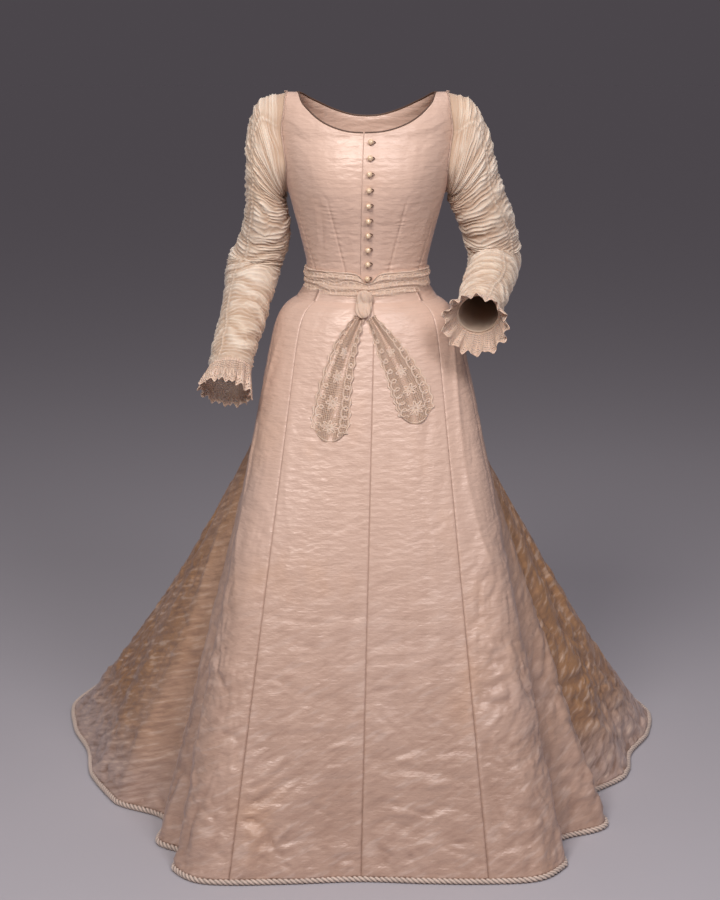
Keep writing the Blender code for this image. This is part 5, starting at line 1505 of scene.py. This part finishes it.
def ribbon_parts(path, surface, width, height):
    """Points, quads and UV of a flat tape along a path of cloth coordinates, closed at its ends.

    surface(points, lift) gives the place of a cloth coordinate; the tape's section is a low arch.
    """
    along = unit(np.gradient(path, axis=0))
    square = np.stack([-along[:, 1], along[:, 0]], -1)
    across = np.array([-0.5, -0.42, 0.0, 0.42, 0.5, 0.0])
    lift = np.array([0.0, 0.8, 1.0, 0.8, 0.0, -0.4]) * height
    flat = path[:, None] + square[:, None] * across[None, :, None] * width
    points = surface(flat, np.broadcast_to(lift, flat.shape[:2]))
    numbers = numbered(len(path), 6, 0, True)
    quads = grid_quads(numbers).reshape(-1, 4)
    last = (len(path) - 1) * 6
    ends = np.array([(3, 2, 1, 0), (5, 4, 3, 0), (last, last + 1, last + 2, last + 3),
                     (last, last + 3, last + 4, last + 5)])
    return points.reshape(-1, 3), np.concatenate([quads, ends]), flat.reshape(-1, 2)


def looped_line(length, pitch, radius, start, lean):
    """A trochoid: a circle rolled along a line, so that the tape makes a row of loops."""
    turns = length / pitch
    t = np.linspace(0, 2 * np.pi * turns, int(turns * 26))
    along = pitch * t / (2 * np.pi) + radius * 1.1 * np.cos(t + lean)
    return np.stack([start + radius * np.sin(t + lean), along], -1)


def rosette(along, radius, petals):
    """A flower of tape on the middle line: its radius swells and shrinks once for each petal."""
    t = np.linspace(0, 2 * np.pi, petals * 14 + 1)
    reach = radius * (0.70 + 0.30 * np.cos(petals * t))
    return np.stack([reach * np.cos(t), along + reach * np.sin(t)], -1)


def front_skirt_point(x, height):
    """The skirt's front at a distance from the middle and a height: u is found by halving."""
    s = 1 - (height - ROPE_RADIUS) / (SASH_BOTTOM - ROPE_RADIUS)
    low = np.full_like(x, -3.0)
    high = np.full_like(x, 3.0)
    for _ in range(24):
        middle = (low + high) / 2
        right_of = skirt(middle, s)[..., 0] < x
        low = np.where(right_of, middle, low)
        high = np.where(right_of, high, middle)
    u = (low + high) / 2
    return skirt(u, s) + skirt_normal(u, s) * CLOTH, skirt_normal(u, s)


def tail_place(rows, share, across, fold_phase):
    """A point of a sash tail, and its outward direction, at a share of the fall and across."""
    places, heights, halves = np.array(rows).T
    keys = np.linspace(0.0, 1.0, len(rows))
    step = 0.01
    x, z, half = (smooth(keys, values, share) for values in (places, heights, halves))
    run_x = smooth(keys, places, share + step) - smooth(keys, places, share - step)
    run_z = smooth(keys, heights, share + step) - smooth(keys, heights, share - step)
    run = unit(np.stack([run_x, run_z], -1))
    end = np.clip((share - TAIL_END_SHARE) / (1 - TAIL_END_SHARE), 0, 1)
    rise = TAIL_END_RISE * end * across ** 2
    scallop = TAIL_SCALLOP * np.cos(share * 72.0) * ease(0.8, 1.0, np.abs(across))
    offset = across * (half + scallop)
    point, normal = front_skirt_point(x - run[..., 1] * offset - run[..., 0] * rise,
                                      z + run[..., 0] * offset - run[..., 1] * rise)
    turn = across * TAIL_FOLD_TURN + fold_phase + TAIL_FOLD_DRIFT * share
    fold = TAIL_FOLD * (1 + np.cos(turn)) * (1.0 - TAIL_FOLD_LOSS * share)
    return point, normal, TAIL_LIFT + fold


def lace_mesh(node, ground, tapes, ground_rise):
    """A lace piece: a pierced ground and the tapes on it, told apart by their rise."""
    points, quads, uv = joined([ground] + tapes)
    rise = np.where(np.arange(len(points)) >= len(ground[0]), 1.0, ground_rise)
    return dress(add_mesh("lace_" + node, points, quads, None, uv, rise), LACE_THREAD, [node])


def tail_piece(node, rows, fold_phase):
    """One sash tail: a net ground with small holes, and tape scrolls, flowers and edging on it."""
    places = np.array(rows)
    length = np.sum(np.hypot(np.diff(places[:, 0]), np.diff(places[:, 1])))
    half = TAIL_HALF_WIDTH
    share, across = np.meshgrid(np.linspace(0, 1, TAIL_ROWS + 1), np.linspace(-1, 1, TAIL_COLUMNS + 1),
                                indexing="ij")
    point, normal, lift = tail_place(rows, share, across, fold_phase)
    outer = point + normal * (lift + LACE * 0.5)[..., None]
    inner = point + normal * (lift - LACE * 0.1)[..., None]
    keep = np.ones((TAIL_ROWS, TAIL_COLUMNS), bool)
    keep[2:-2:2, 2:-2:2] = False
    ground = pierced_parts(outer, inner, np.stack([across * half, share * length], -1), keep)

    def surface(flat, lift_of):
        along = np.clip(flat[..., 1] / length, 0.004, 0.998)
        sideways = np.clip(flat[..., 0] / half, -1.0, 1.0)
        place, outwards, high = tail_place(rows, along, sideways, fold_phase)
        return place + outwards * (high + LACE * 0.5 + lift_of)[..., None]

    t = np.linspace(0.01, 0.99, 150)
    paths = [np.stack([0 * t + sign * half * 0.95, t * length], -1) for sign in (-1, 1)]
    paths.append(np.stack([np.linspace(-0.95, 0.95, 60) * half, np.full(60, length * 0.982)], -1))
    for place, radius, petals in ROSETTES:
        paths.append(rosette(length * place, radius, petals))
        paths.append(rosette(length * place, radius * 0.42, petals))
    for start, lean in ((-TAIL_LOOP_PLACE, 0.0), (TAIL_LOOP_PLACE, np.pi / 2)):
        paths.append(looped_line(length * 0.94, 0.0165, 0.0058, start, lean))
    tapes = [ribbon_parts(path, surface, 0.0026, 0.0007) for path in paths]
    piece = lace_mesh(node, ground, tapes, 0.0)


def cuff_piece(side, node, rows, sizes):
    """A lace frill: a net tube with small holes, a gathered head and rows of tape."""
    length = sizes[0]
    turn = 2 * np.pi * np.arange(CUFF_COLUMNS) / CUFF_COLUMNS
    share, around = np.meshgrid(np.linspace(0, 1, CUFF_ROWS + 1), turn, indexing="ij")
    outer, spokes = cuff_surface(around, share, side, rows, sizes)
    gathers = 0.0007 * (1 - share) * np.cos(around * 52 + 2 * np.sin(5 * around))
    outer = outer + spokes * gathers[..., None]
    inner = outer - spokes * LACE * 0.55
    keep = np.ones((CUFF_ROWS, CUFF_COLUMNS), bool)
    keep[3:-2:2, 1::2] = False
    uv = np.stack([around * ARM_RADIUS, share * length], -1)
    ground = pierced_parts(outer, inner, uv, keep, wrap=True)

    def surface(flat, lift_of):
        down = np.clip(flat[..., 1] / length, 0, 1)
        place, outwards = cuff_surface(flat[..., 0] / ARM_RADIUS, down, side, rows, sizes)
        return place + outwards * (lift_of + 0.0001)[..., None]

    t = np.linspace(0, 2 * np.pi, CUFF_LOOPS * 12)
    around_line = t * ARM_RADIUS
    edge = np.stack([around_line, 0 * t + length * 0.97], -1)
    middle = np.stack([around_line, length * (0.62 + 0.14 * np.sin(CUFF_WAVES * 2 * t))], -1)
    loops = CUFF_LOOPS * t
    scroll = np.stack([around_line + 0.0028 * np.sin(loops), length * 0.80 + 0.0036 * np.cos(loops)], -1)
    tapes = [ribbon_parts(path, surface, 0.0021, 0.0006) for path in (edge, middle, scroll)]
    piece = lace_mesh(node, ground, tapes, 0.55)


def sash_point(turn, share):
    """A point of the sash band before its folds, and its level outward direction."""
    signed = (turn + np.pi) % (2 * np.pi) - np.pi
    dip = np.exp(-((signed - SASH_DIP_ANGLE) / SASH_DIP_SPREAD) ** 2)
    low = SASH_BOTTOM + SASH_LIFT
    height = low + (SASH_TOP - low) * share - SASH_SAG * np.cos(turn) * (1 - share)
    height = height - SASH_DIP * share ** 3 * dip
    local = torso(turn, height)
    level = unit(local * (1.0, 1.0, 0.0))
    reach = np.linalg.norm(local[..., :2], axis=-1)
    out = level * (reach + CLOTH + SASH_EASE + SASH_FLARE * (1 - share) ** 2)[..., None]
    out[..., 2] = height
    return out, level


def sash_folds(turn, share):
    """Crushed folds of the band: level waves that wander, open and close round the waist."""
    x = turn / (2 * np.pi)
    push = lattice_noise(x * 11, share * 3, 61, 11)
    fine_push = lattice_noise(x * 23, share * 5, 62, 23)
    folds = np.abs(np.cos(np.pi * share * 3.2 + 1.4 * push))
    fine = np.abs(np.cos(np.pi * share * 8.0 + 2.2 * fine_push + 1.2 * push))
    gathers = 0.5 + 0.5 * np.cos(2 * np.pi * x * 130 + 5 * push + 4 * share)
    return 0.0028 * (1 - folds) + 0.0012 * (1 - fine) + 0.0011 * gathers


def band_piece():
    """The lace band: crushed folds, with rows of tape loops on it."""
    turn = 2 * np.pi * np.arange(SASH_COLUMNS) / SASH_COLUMNS
    share, around = np.meshgrid(np.linspace(0, 1, SASH_ROWS + 1), turn, indexing="ij")
    base, level = sash_point(around, share)
    outer = base + level * (LACE * 0.7 + PROUD + sash_folds(around, share))[..., None]
    uv = np.stack([around * SASH_RADIUS, share * SASH_WIDTH], -1)
    points, quads, rims, both = shell_parts(outer, base[::INNER_STEP, ::INNER_STEP], uv, True)

    def surface(flat, lift_of):
        angle = flat[..., 0] / SASH_RADIUS
        high = np.clip(flat[..., 1] / SASH_WIDTH, 0, 1)
        place, outwards = sash_point(angle, high)
        return place + outwards * (LACE * 0.7 + PROUD + sash_folds(angle, high) + lift_of)[..., None]

    t = np.linspace(0, 2 * np.pi, SASH_LOOPS * 12)
    along = t * SASH_RADIUS
    tapes = []
    for height, lean in SASH_LOOP_ROWS:
        loops = SASH_LOOPS * t + lean
        path = np.stack([along + 0.0036 * np.sin(loops), height + 0.0040 * np.cos(loops)], -1)
        tapes.append(ribbon_parts(path, surface, 0.0018, 0.0005))
    for height in SASH_EDGES:
        path = np.stack([along[::3], height + 0 * along[::3]], -1)
        tapes.append(ribbon_parts(path, surface, 0.0026, 0.0007))
    points, quads, both = joined([(points, quads, both)] + tapes)
    tape_start = outer.shape[0] * outer.shape[1] + base[::INNER_STEP, ::INNER_STEP].size // 3
    rise = np.where(np.arange(len(points)) >= tape_start, 1.0, 0.45)
    piece = add_mesh("lace_sash_band", points, quads, rims, both, rise)
    dress(piece, LACE_THREAD, ["sash_band"])


def knot_piece():
    """The knot: an upright pad, pinched at its middle, with folds that fan from the pinch."""
    rows, columns = KNOT_GRID
    turns = 2 * np.pi * np.arange(columns) / columns
    fall, turn = np.meshgrid(np.linspace(0.03, np.pi - 0.03, rows), turns, indexing="ij")
    up = np.cos(fall)
    pinch = 0.74 + 0.26 * np.abs(up) + 0.10 * np.sin(2.2 * up + turn)
    folds = 0.80 + 0.32 * np.abs(np.cos(3 * turn + 2.6 * up + 0.8 * np.sin(2 * turn)))
    folds = folds + 0.05 * np.cos(turn * 13 + 7 * up)
    reach = np.sin(fall) * pinch * folds
    ball = np.stack([reach * np.cos(turn), reach * np.sin(turn), up], -1)
    points = ball * KNOT_HALF_SIZES * (1.06, 1.25, 1.0)
    # It lies against the nearer of the band and the skirt below it
    band = torso(np.zeros(1), np.full(1, WAIST_HEIGHT))[0, 1] - CLOTH - SASH_EASE - 2 * LACE
    drop = SASH_BOTTOM - ROPE_RADIUS
    s = np.clip(1 - (points[..., 2] + KNOT_CENTRE[1] - ROPE_RADIUS) / drop, 0, 1)
    cloth = skirt(np.full_like(s, -0.3), s)[..., 1] - CLOTH
    points = points + (KNOT_CENTRE[0], -KNOT_HALF_SIZES[1] * 1.1, KNOT_CENTRE[1])
    points[..., 1] += np.minimum(band, cloth)
    poles = np.stack([points[0].mean(axis=0), points[-1].mean(axis=0)])
    everything = np.concatenate([points.reshape(-1, 3), poles])
    middle = everything.mean(axis=0)
    hollow = middle + (everything - middle) * KNOT_INNER_SHARE
    uv = np.concatenate([np.stack([turn * 0.02, fall * 0.02], -1).reshape(-1, 2), np.zeros((2, 2))])
    numbers = numbered(rows, columns, 0, True)
    quads = grid_quads(numbers).reshape(-1, 4)
    caps = pole_caps(numbers, rows * columns)
    shift = len(everything)
    piece = add_mesh("lace_sash_knot", np.concatenate([everything, hollow]),
                     np.concatenate([quads, quads[:, ::-1] + shift]),
                     np.concatenate([caps, caps[:, ::-1] + shift]), np.concatenate([uv, uv]),
                     np.full(2 * shift, 0.5))
    dress(piece, LACE_THREAD, ["sash_knot"])


# The studio


def add_area_light(name, place, side, power, colour, towards):
    """A large soft square light that faces a point."""
    lamp = bpy.data.lights.new(name, "AREA")
    lamp.shape = "SQUARE"
    lamp.size = side
    lamp.energy = power
    lamp.color = colour
    piece = bpy.data.objects.new(name, lamp)
    bpy.context.scene.collection.objects.link(piece)
    piece.location = place
    facing = np.asarray(towards, float) - place
    piece.rotation_euler = (math.atan2(math.hypot(facing[0], facing[1]), -facing[2]), 0.0,
                            math.atan2(facing[1], facing[0]) - math.pi / 2)


def add_studio():
    """A plain pale floor, a pale surround, three soft lights and the camera."""
    corners = [(x * FLOOR_HALF_SIDE, y * FLOOR_HALF_SIDE, -FLOOR_DROP)
               for x, y in ((-1, -1), (1, -1), (1, 1), (-1, 1))]
    floor = add_mesh("floor", corners, [(0, 1, 2, 3)])
    floor.data.materials.append(new_material("pale floor", (0.46, 0.43, 0.46), 0.7))
    world = bpy.data.worlds.new("studio")
    world.use_nodes = True
    sky = world.node_tree.nodes["Background"]
    split = add_node(world, "ShaderNodeSeparateXYZ")
    link(world, add_node(world, "ShaderNodeTexCoord").outputs["Generated"], split.inputs[0])
    height = ranged(world, split.outputs["Z"], 0.05, 0.35, 0.0, 1.0)
    link(world, mixed(world, (0.252, 0.220, 0.252), (0.50, 0.46, 0.50), height), sky.inputs["Color"])
    sky.inputs["Strength"].default_value = SURROUND_STRENGTH
    bpy.context.scene.world = world
    for light in LIGHTS:
        add_area_light(*light)
    camera = bpy.data.objects.new("camera", bpy.data.cameras.new("camera"))
    bpy.context.scene.collection.objects.link(camera)
    camera.location = CAMERA_PLACE
    camera.rotation_euler = (math.radians(CAMERA_TILT), 0.0, 0.0)
    camera.data.lens = CAMERA_LENS
    camera.data.sensor_width = SENSOR_WIDTH
    bpy.context.scene.camera = camera
    bpy.context.scene.view_settings.view_transform = "Standard"


# Colours: the lit front, the train's darker tan as painted shade, and its paler painted sheen near the
# floor
TAFFETA = taffeta_material("silk taffeta", (0.650, 0.446, 0.352), (0.440, 0.230, 0.110),
                           (0.580, 0.430, 0.380))
CHIFFON_CLOTH = chiffon_material("silk chiffon", (0.735, 0.615, 0.510))
LACE_THREAD = lace_material("tape lace", (0.720, 0.540, 0.430), (0.56, 0.385, 0.285), (0.500, 0.335, 0.245))
CORD = cord_material("silk cord", (0.700, 0.540, 0.450))
# Near-black silk of the neck binding, also standing in for the shadow along the neck edge
DARK_BINDING_AND_SHADOW = new_material("dark silk", (0.110, 0.058, 0.038), 0.55)
# Near-black thread of the button loops, also standing in for the shadow beside each button
DARK_LOOP_AND_SHADOW = new_material("loop thread", (0.13, 0.065, 0.04), 0.7)
PEARL = pearl_material("pearl")

front_piece(-1, "bodice_front_right", RIGHT_FRONT_CREASES, 11)
front_piece(1, "bodice_front_left", LEFT_FRONT_CREASES, 17)
back_piece()
binding_piece()
piping_piece(-1, "armhole_piping_right")
piping_piece(1, "armhole_piping_left")
button_pieces()
for number, gore in enumerate(GORES):
    gore_piece(number, *gore)
rope_piece()
sleeve_piece(-1, "sleeve_right", RIGHT_SLEEVE_ROWS, 3, ("_head", "_upper", "_lower", "_wrist"))
sleeve_piece(1, "sleeve_left", LEFT_SLEEVE_ROWS, 8, ("_head", "_upper", "_lower"))
cuff_piece(-1, "cuff_right", RIGHT_SLEEVE_ROWS, RIGHT_CUFF)
cuff_piece(1, "cuff_left", LEFT_SLEEVE_ROWS, LEFT_CUFF)
band_piece()
knot_piece()
tail_piece("sash_tail_right", RIGHT_TAIL_ROWS, 0.4)
tail_piece("sash_tail_left", LEFT_TAIL_ROWS, 2.6)
add_studio()
